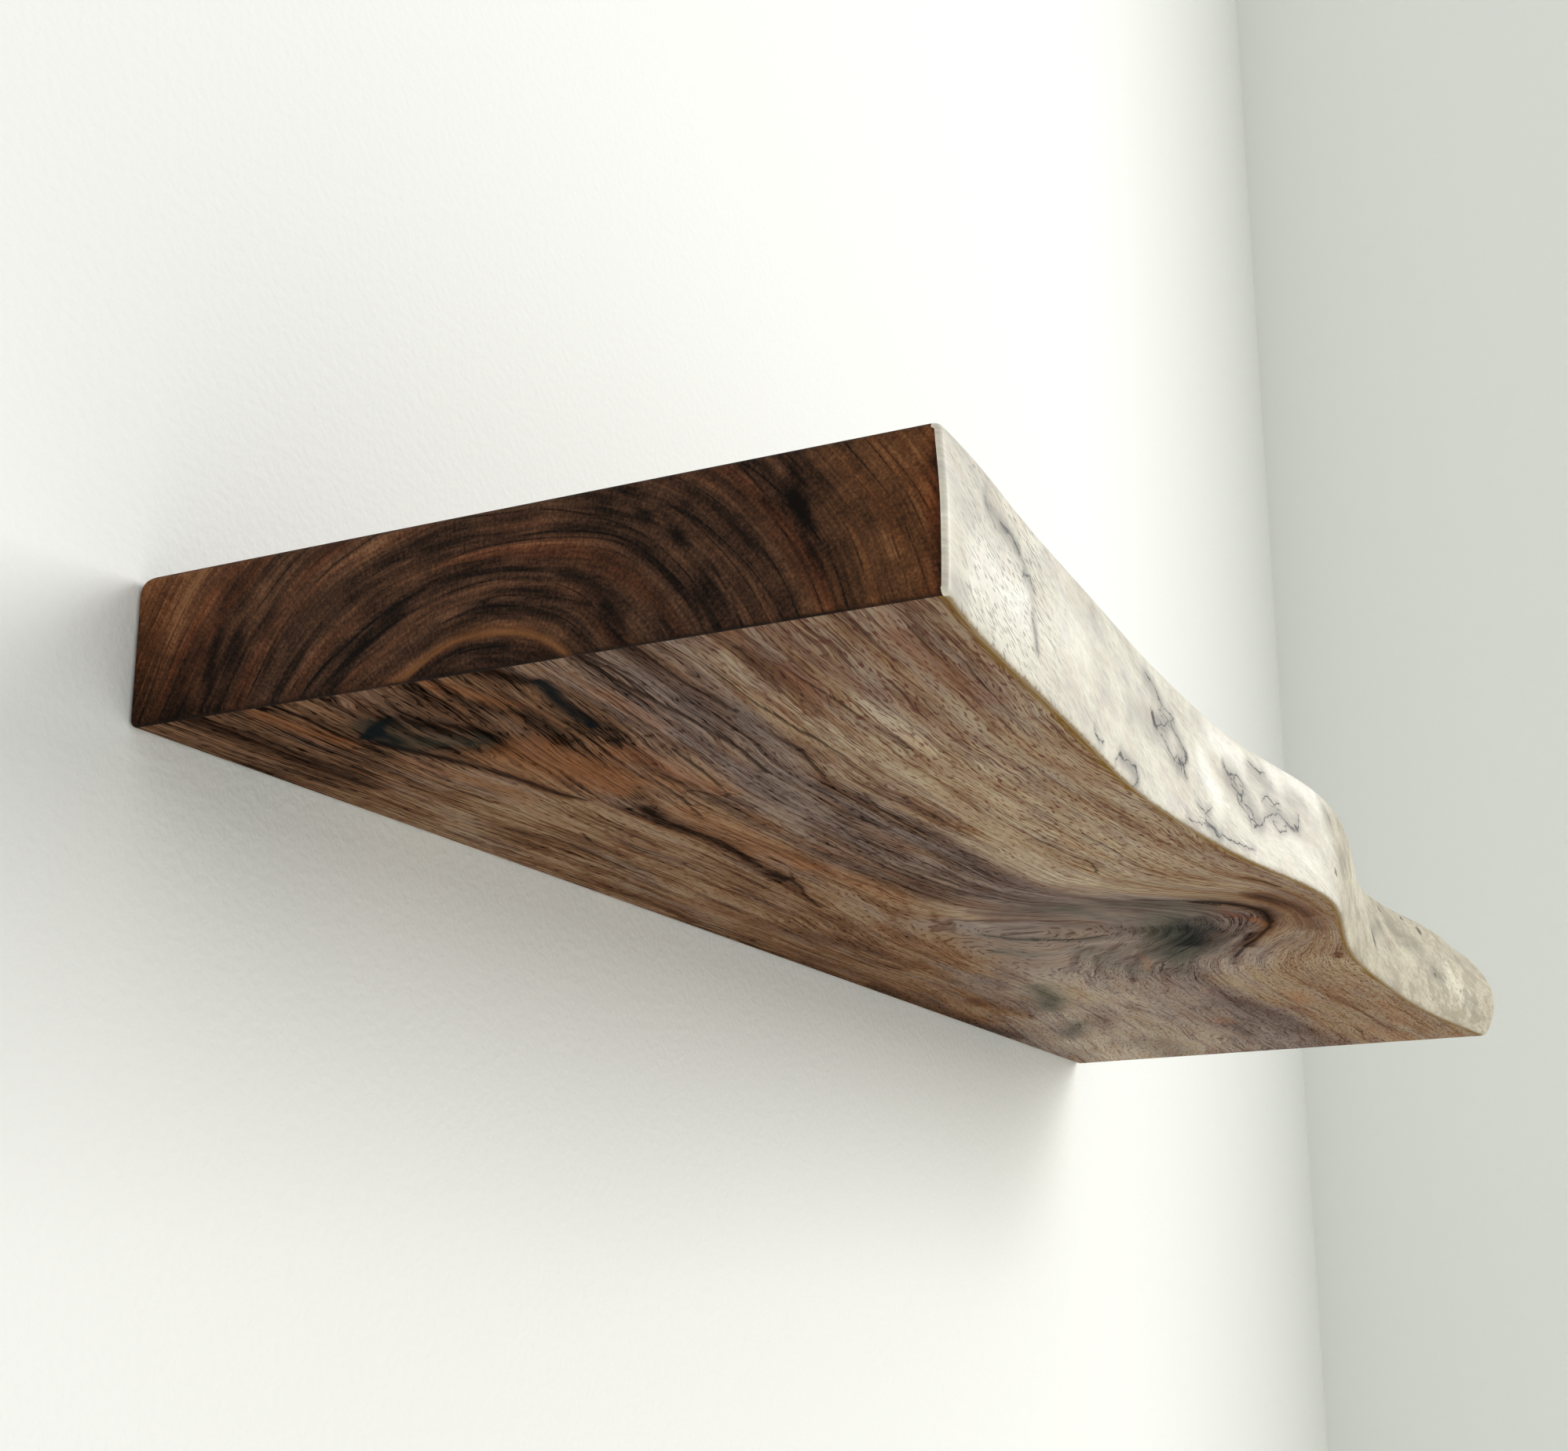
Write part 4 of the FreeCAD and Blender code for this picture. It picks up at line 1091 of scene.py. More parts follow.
height_tone = node(end_grain, "MapRange", {
    "Value": true_parts.outputs[2], "From Min": PITH_LOW, "From Max": PITH_LOW + THICKNESS,
    "To Min": -1.0, "To Max": 1.0,
})
lean = node(end_grain, "MapRange", {
    "Value": from_wall, "From Min": 0.0, "From Max": 0.30, "To Min": 0.42, "To Max": 0.0,
})
print("rings of their own tone:", len(ring_tone.color_ramp.elements))

# %% [markdown]
# Dark patches cross the rings where the wood dried, some short and some long and thin. Each
# is a soft spot: its place out from the wall and up from the underside, its half length and
# half width, all in mm, and its tilt in degrees. Thin rings, darker than the rest, are broken
# up by a cloud. The tones lie round 0.5, so 1.0 comes off where two of them are added.
# %% Walnut, end grain: dark patches and thin rings
BLOT_SPREAD, BLOT_TONE = 1.6, -0.36
BLOTS = [
    (146, 37, 5, 2.2, -25), (151, 29, 4, 1.6, -50), (166, 12, 4.5, 2.6, -80), (160, 22, 5, 1.5, -60),
    (45, 23, 5, 3, 60), (33, 18, 6, 2, 60), (133, 18, 7, 1.6, -35), (144, 8, 8, 2.0, -55),
    (80, 17, 10, 1.8, 35), (25, 12, 14, 1.8, 76), (190, 28, 12, 2.0, -75), (70, 7, 9, 1.4, 55),
]
for deep_at, high_at, long_by, wide_by, tilt in BLOTS:
    blot_place = node(end_grain, "Mapping", {
        "Vector": uneven,
        "Location": (0, deep_at - PITH_DEEP + UNEVEN_BY / 2, high_at + PITH_LOW + UNEVEN_BY / 2),
        "Rotation": (math.radians(tilt), 0, 0),
        "Scale": (1000, long_by * BLOT_SPREAD, wide_by * BLOT_SPREAD),
    }, vector_type="TEXTURE")
    blot = node(end_grain, "TexGradient", {"Vector": blot_place}, gradient_type="SPHERICAL")
    end_level = node(end_grain, "Math", {
        0: blot, 1: BLOT_TONE, 2: end_level,
    }, operation="MULTIPLY_ADD")
off_middle = node(end_grain, "Math", {
    0: node(end_grain, "Math", {0: ring_noise["lines"], 1: 0.5}, operation="SUBTRACT"),
}, operation="ABSOLUTE")
thin_ring = node(end_grain, "MapRange", {
    "Value": off_middle, "From Min": 0.005, "From Max": 0.022, "To Min": -0.34, "To Max": 0.0,
})
broken_ring = node(end_grain, "Math", {
    0: thin_ring,
    1: node(end_grain, "MapRange", {
        "Value": ring_noise["cloud"], "From Min": 0.40, "From Max": 0.56,
    }),
}, operation="MULTIPLY")
for part in (ring_tone, side_tone, broken_ring, -1.0):
    end_level = node(end_grain, "Math", {0: part, 1: end_level}, operation="ADD")
end_level = node(end_grain, "Math", {0: height_tone, 1: lean, 2: end_level}, operation="MULTIPLY_ADD")
print("dark patches:", len(BLOTS))

# %% [markdown]
# The level picks a brown, the sides are tinted, and one ring close to the pith is orange.
# %% Walnut, end grain: its browns
end_brown = node(end_grain, "ValToRGB", {0: end_level}, stops=[
    (0.0, "#100A07"), (0.25, "#2B1D15"), (0.5, "#473124"), (0.7, "#5E412F"), (0.85, "#704E38"),
    (1.0, "#86644A"),
])
warm_spots = node(end_grain, "MixRGB", {
    "Fac": node(end_grain, "MapRange", {
        "Value": ring_noise["seasons"], "From Min": 0.48, "From Max": 0.66, "To Max": 0.8,
    }),
    "Color1": end_brown, "Color2": "#F6D6C4",
}, blend_type="MULTIPLY")
side_tint = node(end_grain, "ValToRGB", {0: from_wall}, stops=[
    (0.0, "#FAE6CC"), (0.10, "#FDF0E4"), (0.2, "#FFFFFF"), (0.8, "#FFFFFF"), (0.90, "#FDF4E2"),
    (0.97, "#FBEFD6"), (1.0, "#F0C4A4"),
])
tinted = node(end_grain, "MixRGB", {
    "Fac": 1.0, "Color1": warm_spots, "Color2": side_tint,
}, blend_type="MULTIPLY")
arc = node(
    end_grain, "ValToRGB",
    {0: node(end_grain, "MapRange", {"Value": ring, "From Min": 39, "From Max": 51})},
    stops=[(0.0, 0.0), (0.42, 0.0), (0.50, 0.60), (0.55, 0.40), (0.66, 0.08), (1.0, 0.0)],
)
with_arc = node(end_grain, "MixRGB", {"Fac": arc, "Color1": tinted, "Color2": "#855833"})
print("browns:", len(end_brown.color_ramp.elements))

# %% [markdown]
# The saw leaves a rough, burnt arris round each end. It starts 0.05 mm behind the sawn face
# and is full at 0.8 mm. A cloud makes it stronger in some places than in others.
# %% Walnut, end grain: burnt arrises and surface
BURN_START, BURN_FULL = 0.05, 0.8
end_along = node(end_grain, "SeparateXYZ", {
    0: node(end_grain, "Attribute", attribute_name="rim").outputs["Vector"],
}).outputs[1]
near_arris = node(end_grain, "MapRange", {
    "Value": end_along, "From Min": BURN_START, "From Max": BURN_FULL,
})
far_arris = node(end_grain, "MapRange", {
    "Value": end_along, "From Min": LENGTH - BURN_START, "From Max": LENGTH - BURN_FULL,
})
rough_saw = node(end_grain, "MapRange", {
    "Value": ring_noise["cloud"], "From Min": 0.35, "From Max": 0.6, "To Min": 0.45, "To Max": 0.95,
})
burnt = node(end_grain, "Math", {
    0: node(end_grain, "Math", {0: near_arris, 1: far_arris}, operation="MULTIPLY"), 1: rough_saw,
}, operation="MULTIPLY")
end_edged = node(end_grain, "MixRGB", {"Fac": burnt, "Color1": with_arc, "Color2": "#180E09"})
end_bump = node(end_grain, "Bump", {
    "Height": node(end_grain, "Math", {
        0: ring_noise["fine"], 1: 0.5, 2: ring_noise["speckle"],
    }, operation="MULTIPLY_ADD"),
    "Strength": 0.25, "Distance": 0.0002,
})
end_shader = node(end_grain, "BsdfPrincipled", {
    "Base Color": end_edged, "Normal": end_bump, "Roughness": 0.6, "Specular IOR Level": 0.05,
})
node(end_grain, "OutputMaterial", {"Surface": end_shader})
print("walnut, end grain:", len(end_grain.node_tree.nodes), "nodes")

# %% [markdown]
# ## Walnut sapwood, debarked and sanded
#
# Just under the bark a walnut log is pale: cream with grey and pink clouds, full of short
# slanted pores. Beetles and stain leave thin dark lines in patches, each with a grey halo.
# The rows hold the same numbers as for the walnut. The fibres slant a little, because the log
# tapered.
# %% Sapwood: its grain
SLANT = math.radians(-12)
SAP_MIDDLE, HIGHLIGHT_SHARE = 0.57, 0.36
WOBBLE = 3.6
BULGE_PASSED = (358, 390)
SAP_NOISES = {
    "cloud": ((42, 30, 9), 3, 0.6, 1.0),
    "patch": ((14, 30, 6), 2, 0.6, 0.0),
    "pink": ((28, 30, 8), 3, 0.6, 0.0),
    "lilac": ((20, 30, 6), 3, 0.6, 0.0),
    "fine": ((7, 3, 0.7), 3, 0.65, 0.85),
    "dashes": ((4.0, 2, 0.45), 0, 0.5, 0.0),
    "wobble": ((6, 4, 2.8), 3, 0.65, 0.0),
}

sap_kept = {
    name: node(sapwood, "SeparateXYZ", {
        0: node(sapwood, "Attribute", attribute_name=name).outputs["Vector"],
    }).outputs
    for name in ("vein", "bark", "rim", "fibre")
}
slant = node(sapwood, "Mapping", {
    "Vector": node(sapwood, "Attribute", attribute_name="fibre").outputs["Vector"],
    "Rotation": (0, SLANT, 0),
})
sap_noise = {}
for name, (size, detail, roughness, _) in SAP_NOISES.items():
    scaled = node(sapwood, "Mapping", {
        "Vector": slant, "Location": (3 * len(sap_noise), 0, 0), "Scale": [1 / mm for mm in size],
    })
    sap_noise[name] = node(sapwood, "TexNoise", {
        "Vector": scaled, "Scale": 1.0, "Detail": detail, "Roughness": roughness,
    })
sap_level = SAP_MIDDLE - 0.5 * sum(row[3] for row in SAP_NOISES.values())
parts_of_level = [(sap_noise[name], row[3]) for name, row in SAP_NOISES.items() if row[3]]
# the painted highlights of the live edge lift the level towards white
for part, share in parts_of_level + [(sap_kept["bark"][1], HIGHLIGHT_SHARE)]:
    sap_level = node(sapwood, "Math", {0: part, 1: share, 2: sap_level}, operation="MULTIPLY_ADD")
sap_colour = node(sapwood, "ValToRGB", {0: sap_level}, stops=[
    (0.0, "#8F8780"), (0.3, "#BDB4A6"), (0.5, "#D6D0C0"), (0.7, "#E7E2D1"), (0.9, "#F5F2E4"),
    (1.0, "#FFFDF2"),
])
past_bulge = node(sapwood, "MapRange", {
    "Value": sap_kept["rim"][1], "From Min": BULGE_PASSED[0], "From Max": BULGE_PASSED[1],
})
print("noises in the sapwood:", list(sap_noise))

# %% [markdown]
# The pores are short dashes, drawn 0.45 mm wide, close together at the near end and sparse in
# the middle. Brown blotches lie beyond the bulge of the edge. A track is dark where its
# shaken signed distance is below its width, and a grey halo reaches about 3 mm from it.
# %% Sapwood: pores, smears, tracks and specks
dash = node(sapwood, "MapRange", {"Value": sap_noise["dashes"], "From Min": 0.60, "From Max": 0.67})
dash_zone = node(
    sapwood, "ValToRGB",
    {0: node(sapwood, "MapRange", {"Value": sap_kept["rim"][1], "From Max": LENGTH})},
    stops=[
        (0.0, 0.0), (0.004, 0.0), (0.008, 0.35), (0.03, 0.6), (0.10, 0.6), (0.15, 0.16),
        (0.5, 0.16), (0.55, 0.4), (1.0, 0.4),
    ],
)
blotch = node(sapwood, "Math", {
    0: node(sapwood, "MapRange", {
        "Value": sap_noise["patch"], "From Min": 0.48, "From Max": 0.60, "To Max": 0.55,
    }),
    1: past_bulge,
}, operation="MULTIPLY")
near_track = node(sapwood, "Math", {
    0: sap_noise["fine"], 1: 4.0, 2: sap_kept["vein"][1],
}, operation="MULTIPLY_ADD")
halo = node(sapwood, "MapRange", {
    "Value": near_track, "From Min": 2.0, "From Max": 5.0, "To Min": 0.50, "To Max": 0.0,
})
smear = node(sapwood, "Math", {
    0: sap_kept["bark"][0],
    1: node(sapwood, "MapRange", {
        "Value": sap_noise["fine"], "From Min": 0.35, "From Max": 0.65, "To Min": 0.25, "To Max": 1.1,
    }),
}, operation="MULTIPLY", use_clamp=True)
wobbled = node(sapwood, "Math", {
    0: sap_noise["wobble"], 1: WOBBLE, 2: sap_kept["vein"][0],
}, operation="MULTIPLY_ADD")
off_track = node(sapwood, "Math", {
    0: node(sapwood, "Math", {0: wobbled, 1: WOBBLE / 2}, operation="SUBTRACT"),
}, operation="ABSOLUTE")
in_widths = node(sapwood, "Math", {0: off_track, 1: sap_kept["vein"][2]}, operation="DIVIDE")
track = node(sapwood, "Math", {
    0: node(sapwood, "MapRange", {
        "Value": in_widths, "From Min": 0.4, "From Max": 1.2, "To Min": 0.95, "To Max": 0.0,
    }),
    1: node(sapwood, "MapRange", {
        "Value": sap_kept["vein"][1], "From Min": 1.6, "From Max": 2.4, "To Min": 1.0, "To Max": 0.0,
    }),
}, operation="MULTIPLY")
broken_track = node(sapwood, "Math", {
    0: track,
    1: node(sapwood, "MapRange", {
        "Value": sap_noise["fine"], "From Min": 0.58, "From Max": 0.48, "To Min": 0.30, "To Max": 1.0,
    }),
}, operation="MULTIPLY")
speck = node(sapwood, "MapRange", {
    "Value": node(sapwood, "Math", {
        0: sap_noise["fine"], 1: 0.8, 2: sap_kept["bark"][2],
    }, operation="MULTIPLY_ADD"),
    "From Min": 0.75, "From Max": 1.0, "To Max": 0.9,
})
print("nodes so far:", len(sapwood.node_tree.nodes))

# %% [markdown]
# The colours are laid over each other, cloudy ones first and sharp ones last. Past the bulge
# the edge is a little darker, which is painted shade, and it turns golden brown along its rim,
# where the bark was.
# %% Sapwood: its colours and surface
pink = node(sapwood, "MapRange", {
    "Value": sap_noise["pink"], "From Min": 0.50, "From Max": 0.68, "To Max": 0.35,
})
lilac = node(sapwood, "MapRange", {
    "Value": sap_noise["lilac"], "From Min": 0.52, "From Max": 0.70, "To Max": 0.40,
})
# painted highlights, laid on in near white
bright = node(sapwood, "Math", {0: sap_kept["bark"][1], 1: 0.5}, operation="MULTIPLY")
pore = node(sapwood, "Math", {0: dash, 1: dash_zone}, operation="MULTIPLY")
for amount, tint in (
    (pink, "#D8C3B2"), (lilac, "#B3AEB1"), (bright, "#FFFDF2"), (pore, "#6C6664"),
    (blotch, "#A39681"), (halo, "#8D8783"), (smear, "#77736F"), (broken_track, "#1E1F22"),
    (speck, "#33281F"),
):
    sap_colour = node(sapwood, "MixRGB", {"Fac": amount, "Color1": sap_colour, "Color2": tint})
# past the bulge a painted shade darkens the whole edge
sap_colour = node(sapwood, "MixRGB", {
    "Fac": past_bulge, "Color1": sap_colour, "Color2": "#DED9CC",
}, blend_type="MULTIPLY")
rim_colour = node(sapwood, "MixRGB", {
    "Fac": node(sapwood, "MapRange", {"Value": sap_kept["fibre"][2], "From Min": 5, "From Max": 30}),
    "Color1": "#86652F", "Color2": "#C4AE90",
})
torn_sap_rim = node(sapwood, "Math", {
    0: sap_noise["fine"], 1: 1.2, 2: sap_kept["rim"][0],
}, operation="MULTIPLY_ADD")
rim_amount = node(sapwood, "MapRange", {"Value": torn_sap_rim, "From Min": 1.0, "From Max": 1.7})
sap_edged = node(sapwood, "MixRGB", {"Fac": rim_amount, "Color1": sap_colour, "Color2": rim_colour})
sap_height = node(sapwood, "Math", {
    0: broken_track, 1: -1.0, 2: sap_noise["fine"],
}, operation="MULTIPLY_ADD")
sap_bump = node(sapwood, "Bump", {"Height": sap_height, "Strength": 0.2, "Distance": 0.0003})
sap_shader = node(sapwood, "BsdfPrincipled", {
    "Base Color": sap_edged, "Normal": sap_bump, "Roughness": 0.4,
})
node(sapwood, "OutputMaterial", {"Surface": sap_shader})
print("sapwood:", len(sapwood.node_tree.nodes), "nodes")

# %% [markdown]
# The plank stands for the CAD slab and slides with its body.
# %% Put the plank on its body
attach(plank, "plank")
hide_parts("slab")
print("the plank rides on the body 'plank'")

# %% [markdown]
# ## The hidden bracket
#
# Nobody sees the bracket until the plank is drawn off its rods, but then every finish shows.
# The bar is flat steel with a black powder coat: a baked polyester skin with a fine
# orange-peel texture. The rods are bright drawn steel with lines along them from the die.
# Black oxide leaves the bolts dark and a little brown. The wall screws are zinc plated, and
# the plugs are moulded nylon.
# %% Finishes of the bracket
BLOTCH_SIZE = (9, 9, 9)


def hardware(name, base, dark, metallic, roughness, size, bump, ior=1.5):
    """A finish whose colour and surface vary with a noise of the given size in mm."""
    material = new_material(name)
    where = node(material, "VectorMath", {
        0: node(material, "TexCoord").outputs["Object"], 1: IN_MM,
    }, operation="MULTIPLY")
    texture, blotch = (
        node(material, "TexNoise", {
            "Vector": node(material, "Mapping", {"Vector": where, "Scale": [1 / mm for mm in grain]}),
            "Scale": 1.0, "Detail": 3.0,
        })
        for grain in (size, BLOTCH_SIZE)
    )
    both = node(material, "Math", {0: texture, 1: blotch}, operation="ADD")
    mixed = node(material, "MixRGB", {
        "Fac": node(material, "MapRange", {"Value": both, "From Min": 0.7, "From Max": 1.3}),
        "Color1": dark, "Color2": base,
    })
    raised = node(material, "Bump", {"Height": texture, "Strength": bump, "Distance": 0.0002})
    rough = node(material, "MapRange", {
        "Value": blotch, "From Min": 0.3, "From Max": 0.7, "To Min": roughness * 0.85,
        "To Max": roughness * 1.15,
    })
    shader = node(material, "BsdfPrincipled", {
        "Base Color": mixed, "Normal": raised, "Roughness": rough, "Metallic": metallic, "IOR": ior,
    })
    node(material, "OutputMaterial", {"Surface": shader})
    return material


finishes = {
    "wall_bar": hardware(
        "powder_coated_steel_black", "#26272A", "#1A1B1D", 0.0, 0.5, (0.9, 0.9, 0.9), 0.5,
    ),
    "rod_": hardware("bright_drawn_steel", "#C8C8C4", "#A9A9A6", 1.0, 0.28, (0.25, 40, 0.25), 0.15),
    "rod_bolt": hardware("black_oxide_steel", "#2C2A29", "#1C1A19", 1.0, 0.38, (0.6, 0.6, 0.6), 0.2),
    "wall_screw": hardware(
        "zinc_plated_steel", "#C9CDD2", "#A6ADB6", 1.0, 0.3, (0.7, 0.7, 0.7), 0.15,
    ),
    "wall_plug": hardware(
        "moulded_grey_nylon", "#8F9295", "#84878A", 0.0, 0.48, (1.2, 1.2, 1.2), 0.2, 1.53,
    ),
}
for name, cad_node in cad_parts.items():
    matching = [start for start in finishes if name.startswith(start)]
    if matching:
        cad_node.data.materials.clear()
        cad_node.data.materials.append(finishes[max(matching, key=len)])
print("finished:", sorted(finishes))

# %% [markdown]
# ## Wall screws and their plugs
#
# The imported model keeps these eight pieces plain. Each is drawn here as a grid of radii, one
# for each angle and each place along its axis, which runs into the wall along Y.
# %% A turned piece
AROUND = 32
ring_angles = 2 * np.pi * np.arange(AROUND) / AROUND


def turned_piece(name, places, radii, hollow):
    """A piece round the Y axis from its places along it and, for each, a radius at each angle."""
    rows = len(places)
    radii = np.broadcast_to(radii, (rows, AROUND))
    points = np.stack([
        radii * np.cos(ring_angles),
        np.repeat(places[:, None], AROUND, 1),
        radii * np.sin(ring_angles),
    ], axis=-1).reshape(-1, 3)
    polygons = []
    for row in range(rows if hollow else rows - 1):
        here, there = row * AROUND, (row + 1) % rows * AROUND
        polygons += [
            (here + k, there + k, there + (k + 1) % AROUND, here + (k + 1) % AROUND)
            for k in range(AROUND)
        ]
    if not hollow:
        far_row = (rows - 1) * AROUND
        polygons += [tuple(range(AROUND)), tuple(far_row + k for k in reversed(range(AROUND)))]
    return mesh_object(name, points, polygons)


print("points round a turned piece:", AROUND)

# %% [markdown]
# A wood screw is rolled from wire: its thread stands 0.75 mm above a thin core and runs out
# towards the point. The thread is a sharp ridge that climbs one pitch each turn. The cross
# recess is cut with a tapered tool, like the punch that makes it. Both rows below hold places
# along the screw with a radius, or a height of the thread, in mm.
# %% The screw
SCREW_CORE = [
    (-5.9, 4.4), (-5.7, 4.6), (-3.7, 2.0), (8.0, 2.0), (9.5, 1.7), (48.0, 1.7), (54.1, 0.1),
]
THREAD_HEIGHT = [(8.0, 0.0), (10.0, 0.75), (48.0, 0.75), (54.0, 0.0)]
PITCH, RIDGE_SHARE = 2.2, 0.22
WEB, SPAN = 0.3, 1.3
CROSS_START, CROSS_END, CROSS_TAPER = -3.5, -6.5, 2.25

screw_places = np.concatenate([
    [-5.9, -5.7], np.linspace(-3.7, 8.0, 6), np.arange(8.2, 54.0, 0.2), [54.1],
])
core = np.interp(screw_places, *zip(*SCREW_CORE))
stand = np.interp(screw_places, *zip(*THREAD_HEIGHT))
turns = (screw_places[:, None] / PITCH - ring_angles / (2 * np.pi)) % 1
ridge = np.clip(1 - np.abs(turns - 0.5) / RIDGE_SHARE, 0, 1)
threaded = core[:, None] + stand[:, None] * ridge
screw_model = turned_piece("screw_model", screw_places, threaded, False)
cross = [
    (SPAN, -WEB), (SPAN, WEB), (WEB, WEB), (WEB, SPAN), (-WEB, SPAN), (-WEB, WEB),
    (-SPAN, WEB), (-SPAN, -WEB), (-WEB, -WEB), (-WEB, -SPAN), (WEB, -SPAN), (WEB, -WEB),
]
cut_away(screw_model, [prism("cross_tool", [cross], CROSS_START, CROSS_END, CROSS_TAPER)])
print("turns of the thread:", round((54.0 - 8.0) / PITCH, 1))

# %% [markdown]
# The plug starts with a plain collar. Its legs carry barbs that slope away from the wall's
# face, and a slit parts the legs so that the screw can spread them. It is hollow: the line of
# radii runs in along the outside and back along the bore.
# %% The plug
COLLAR_PLACES, COLLAR_RADII = [3.0, 3.5, 14.7], [3.6, 4.0, 4.0]
LEGS_START, PLUG_END = 15.0, 53.0
LEG_RADIUS, BARB_HEIGHT, BARB_STEP = 3.15, 0.55, 3.2
TIP_RADIUS, BORE = 3.0, 2.6
SLIT_HALF, SLIT_REACH = 0.6, 5.0

leg_places = np.arange(LEGS_START, PLUG_END - 0.1, 0.4)
barbs = LEG_RADIUS + BARB_HEIGHT * (1 - (leg_places - LEGS_START) / BARB_STEP % 1)
plug_places = np.concatenate([COLLAR_PLACES, leg_places, [PLUG_END, PLUG_END, COLLAR_PLACES[0]]])
plug_radii = np.concatenate([COLLAR_RADII, barbs, [TIP_RADIUS, BORE, BORE]])
plug_model = turned_piece("plug_model", plug_places, plug_radii[:, None], True)
slit = [
    (-SLIT_HALF, -SLIT_REACH), (-SLIT_HALF, SLIT_REACH), (SLIT_HALF, SLIT_REACH),
    (SLIT_HALF, -SLIT_REACH),
]
cut_away(plug_model, [prism("slit_tool", [slit], LEGS_START, PLUG_END + 1)])
print("barbs on a leg:", math.ceil((PLUG_END - LEGS_START) / BARB_STEP))

# %% [markdown]
# Four screws share one mesh and four plugs another. Each stands at the middle of the CAD
# piece that it replaces.
# %% The eight pieces
for model, cad_name, slot_name in (
    (screw_model, "wall_screw", "screw_zinc"), (plug_model, "wall_plug", "plug_nylon"),
):
    model.data.materials.clear()
    model.data.materials.append(finishes[cad_name])
    model.data.shade_smooth()
    model.data.set_sharp_from_angle(angle=math.radians(35))
    for number in range(1, 5):
        low_corner, high_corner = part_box(f"{cad_name}_{number}")
        piece = bpy.data.objects.new(f"detailed_{cad_name}_{number}", model.data)
        piece.location.x = (low_corner.x + high_corner.x) / 2
        bpy.context.scene.collection.objects.link(piece)
        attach(piece, "bracket")
        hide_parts(f"{cad_name}_{number}")
    print(cad_name, "drawn with", len(model.data.vertices), "points")
    bpy.data.objects.remove(model)

# %% [markdown]
# ## The room
#
# A painted wall behind the shelf, a second wall round the corner and a pale floor far below.
# The paint was rolled on, which leaves soft dimples 2 to 4 mm wide. The walls are open at
# the back, so that the bracket can be looked at from behind: where a ray meets the back of
# the wall, the material lets it through. The plank's back lies on the wall and would be pitch
# black from there. So right behind the plank the wall lets light through as well, though the
# camera still sees it. The wall stands 0.3 mm behind the plank, because two faces in one
# plane would show as speckle.
# %% Paint for the walls and the floor
BEHIND_PLANK = (LENGTH / 2 - 1, HALF - 1)


def room_material(name, colour, dimple, bump):
    """Matt paint with dimples of the given width in mm, clear when it is met from behind."""
    material = new_material(name)
    where = node(material, "VectorMath", {
        0: node(material, "TexCoord").outputs["Object"], 1: IN_MM,
    }, operation="MULTIPLY")
    paint = node(material, "TexNoise", {
        "Vector": node(material, "Mapping", {"Vector": where, "Scale": [1 / dimple] * 3}),
        "Scale": 1.0, "Detail": 3.0,
    })
    raised = node(material, "Bump", {"Height": paint, "Strength": bump, "Distance": 0.0006})
    shader = node(material, "BsdfPrincipled", {
        "Base Color": colour, "Normal": raised, "Roughness": 0.8,
    })
    from_middle = node(material, "SeparateXYZ", {
        0: node(material, "VectorMath", {0: where}, operation="ABSOLUTE"),
    })
    within_length, within_height = (
        node(material, "Math", {0: from_middle.outputs[axis], 1: limit}, operation="LESS_THAN")
        for axis, limit in zip((0, 2), BEHIND_PLANK)
    )
    lit_through = node(material, "Math", {
        0: within_length, 1: within_height,
    }, operation="MULTIPLY")
    unseen = node(material, "Math", {
        0: lit_through, 1: node(material, "LightPath").outputs["Is Camera Ray"],
    }, operation="SUBTRACT", use_clamp=True)
    clearness = node(material, "Math", {
        0: unseen, 1: node(material, "NewGeometry").outputs["Backfacing"],
    }, operation="MAXIMUM")
    one_sided = node(material, "MixShader", {
        0: clearness, 1: shader, 2: node(material, "BsdfTransparent"),
    })
    node(material, "OutputMaterial", {"Surface": one_sided})
    return material


wall_paint = room_material("rolled_wall_paint", "#F5F6F1", 3.0, 0.6)
side_paint = room_material("rolled_wall_paint_side", "#EEF0EB", 3.0, 0.2)
floor_paint = room_material("pale_screed_floor", "#F2F1EC", 8.0, 0.1)
print("paints:", [m.name for m in (wall_paint, side_paint, floor_paint)])

# %% [markdown]
# Three sheets make the room. The side wall is short, so that the window can look past it.
# %% Walls and floor
FLOOR, CEILING, CORNER, WALL_END = -1350.0, 1500.0, 799.0, -2600.0
WALL_BACK, SIDE_WALL_END, FLOOR_REACH = 0.3, -600.0, 4000.0


def sheet_of(name, corners, material):
    """One flat sheet of the room from its four corners in mm."""
    made = mesh_object(name, corners, [(0, 1, 2, 3)])
    made.data.materials.append(material)


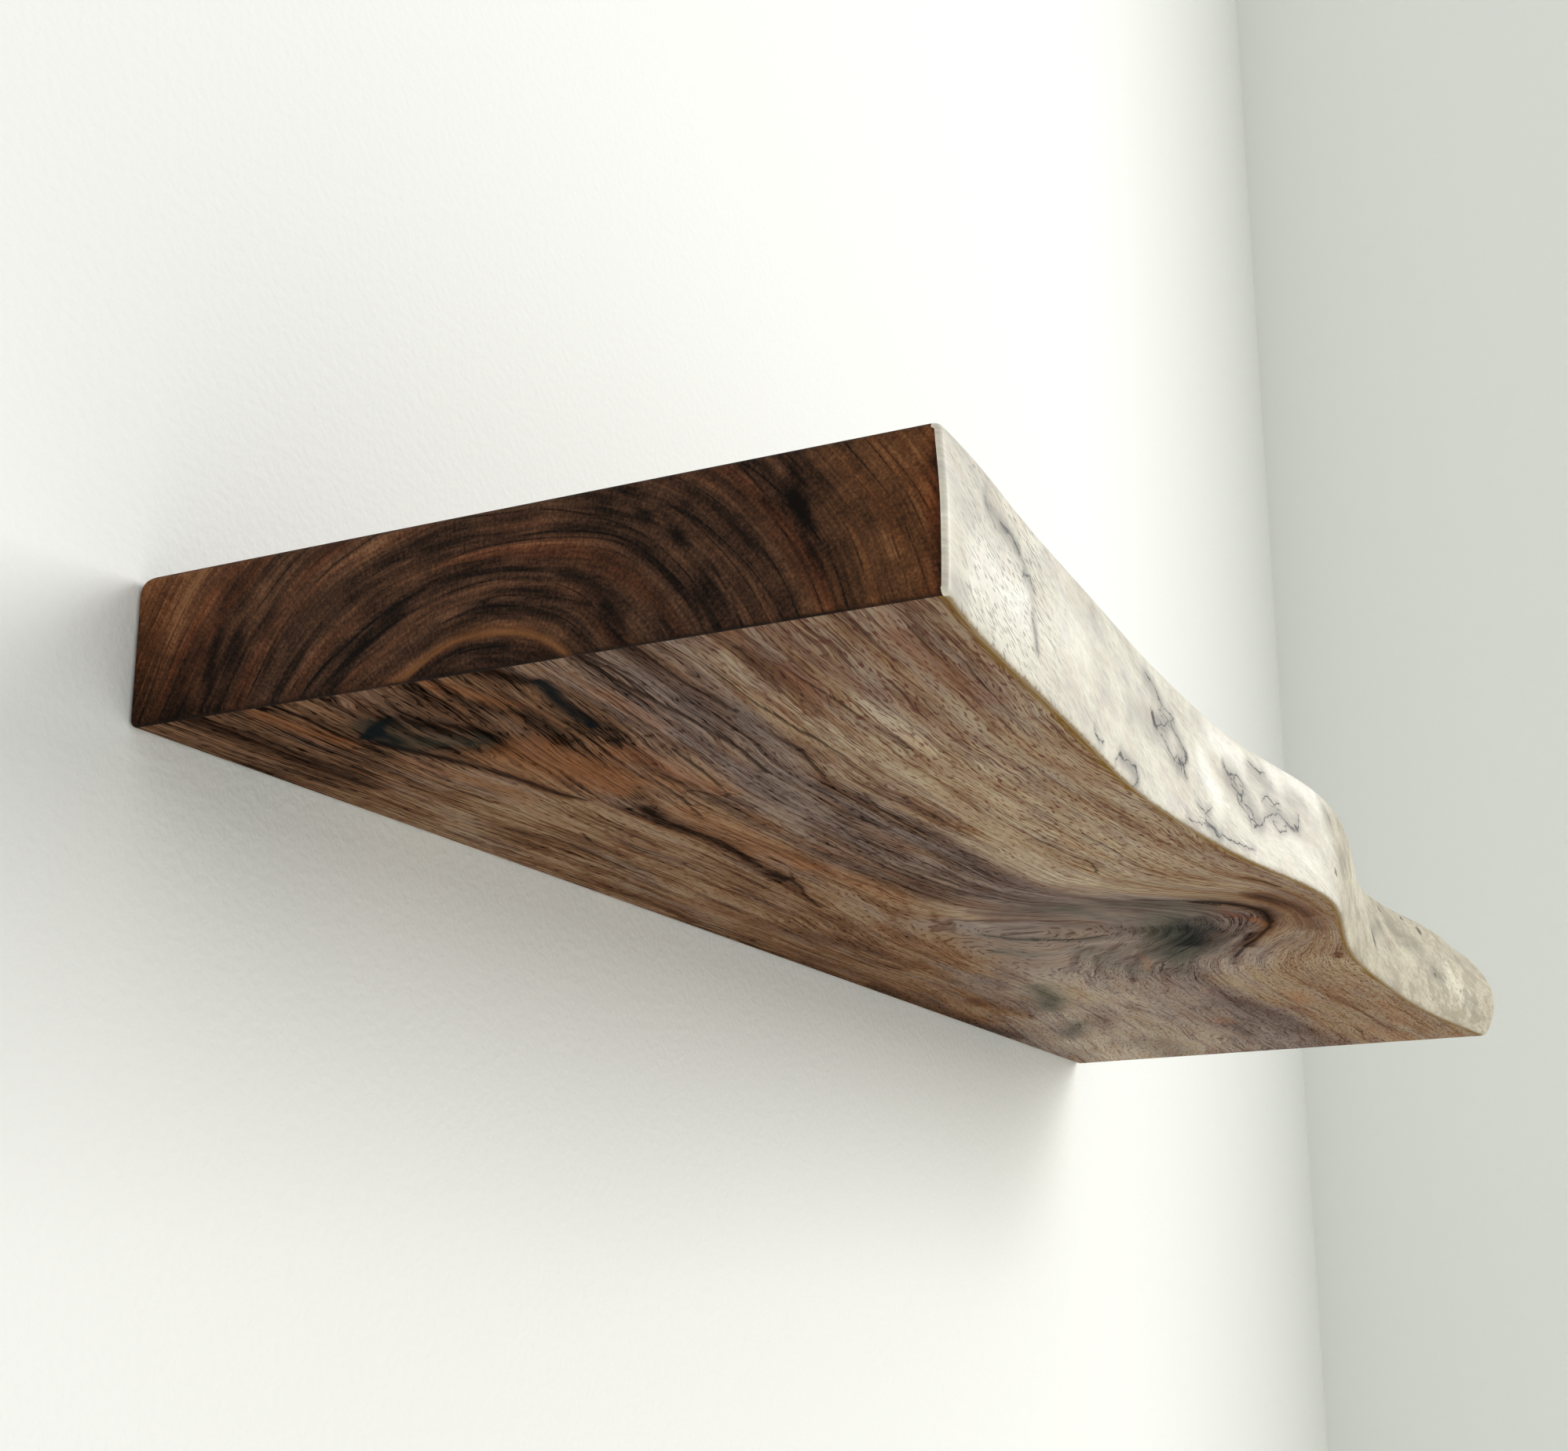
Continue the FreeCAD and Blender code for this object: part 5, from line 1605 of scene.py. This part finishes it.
sheet_of("wall", [
    (WALL_END, WALL_BACK, FLOOR), (CORNER, WALL_BACK, FLOOR),
    (CORNER, WALL_BACK, CEILING), (WALL_END, WALL_BACK, CEILING),
], wall_paint)
sheet_of("side_wall", [
    (CORNER, WALL_BACK, FLOOR), (CORNER, SIDE_WALL_END, FLOOR),
    (CORNER, SIDE_WALL_END, CEILING), (CORNER, WALL_BACK, CEILING),
], side_paint)
sheet_of("floor", [
    (-FLOOR_REACH, -FLOOR_REACH, FLOOR), (FLOOR_REACH, -FLOOR_REACH, FLOOR),
    (FLOOR_REACH, FLOOR_REACH, FLOOR), (-FLOOR_REACH, FLOOR_REACH, FLOOR),
], floor_paint)
print("wall corner at x =", CORNER, "mm")

# %% [markdown]
# ## Light
#
# Daylight from a window on the right, in front of the shelf and a little above it, and the
# pale room all round. The window is one large area lamp, so its shadows are soft. The world
# gives the rest, evenly, at a level where a colour renders about as it is written. Where it
# is seen directly, in a reflection or through the wall, it is as bright as the walls.
# %% The window and the world
WINDOW_PLACE, WINDOW_TARGET = Vector((1.5, -2.9, 0.85)), Vector((0.1, 0, 0))
WINDOW_SIZE, WINDOW_WATTS = 1.5, 56.0
LIGHT_GIVEN, LIGHT_SEEN = (0.66, 0.665, 0.665, 1), (0.88, 0.89, 0.87, 1)

window = bpy.data.objects.new("window", bpy.data.lights.new("window", "AREA"))
window.data.size = WINDOW_SIZE
window.data.energy = WINDOW_WATTS
window.location = WINDOW_PLACE
window.rotation_mode = "QUATERNION"
window.rotation_quaternion = (WINDOW_TARGET - WINDOW_PLACE).to_track_quat("-Z", "Y")
window.visible_camera = False
bpy.context.scene.collection.objects.link(window)
world = bpy.data.worlds.new("pale_room")
world.use_nodes = True
world.node_tree.nodes.clear()
light_path = node(world, "LightPath")
seen = light_path.outputs["Is Camera Ray"]
for ray in ("Is Glossy Ray", "Is Transmission Ray"):
    seen = node(world, "Math", {0: seen, 1: light_path.outputs[ray]}, operation="MAXIMUM")
strength = node(world, "MixRGB", {"Fac": seen, "Color1": LIGHT_GIVEN, "Color2": LIGHT_SEEN})
background = node(world, "Background", {"Color": strength, "Strength": 1.0})
node(world, "OutputWorld", {"Surface": background})
bpy.context.scene.world = world
bpy.context.scene.view_settings.view_transform = "Standard"
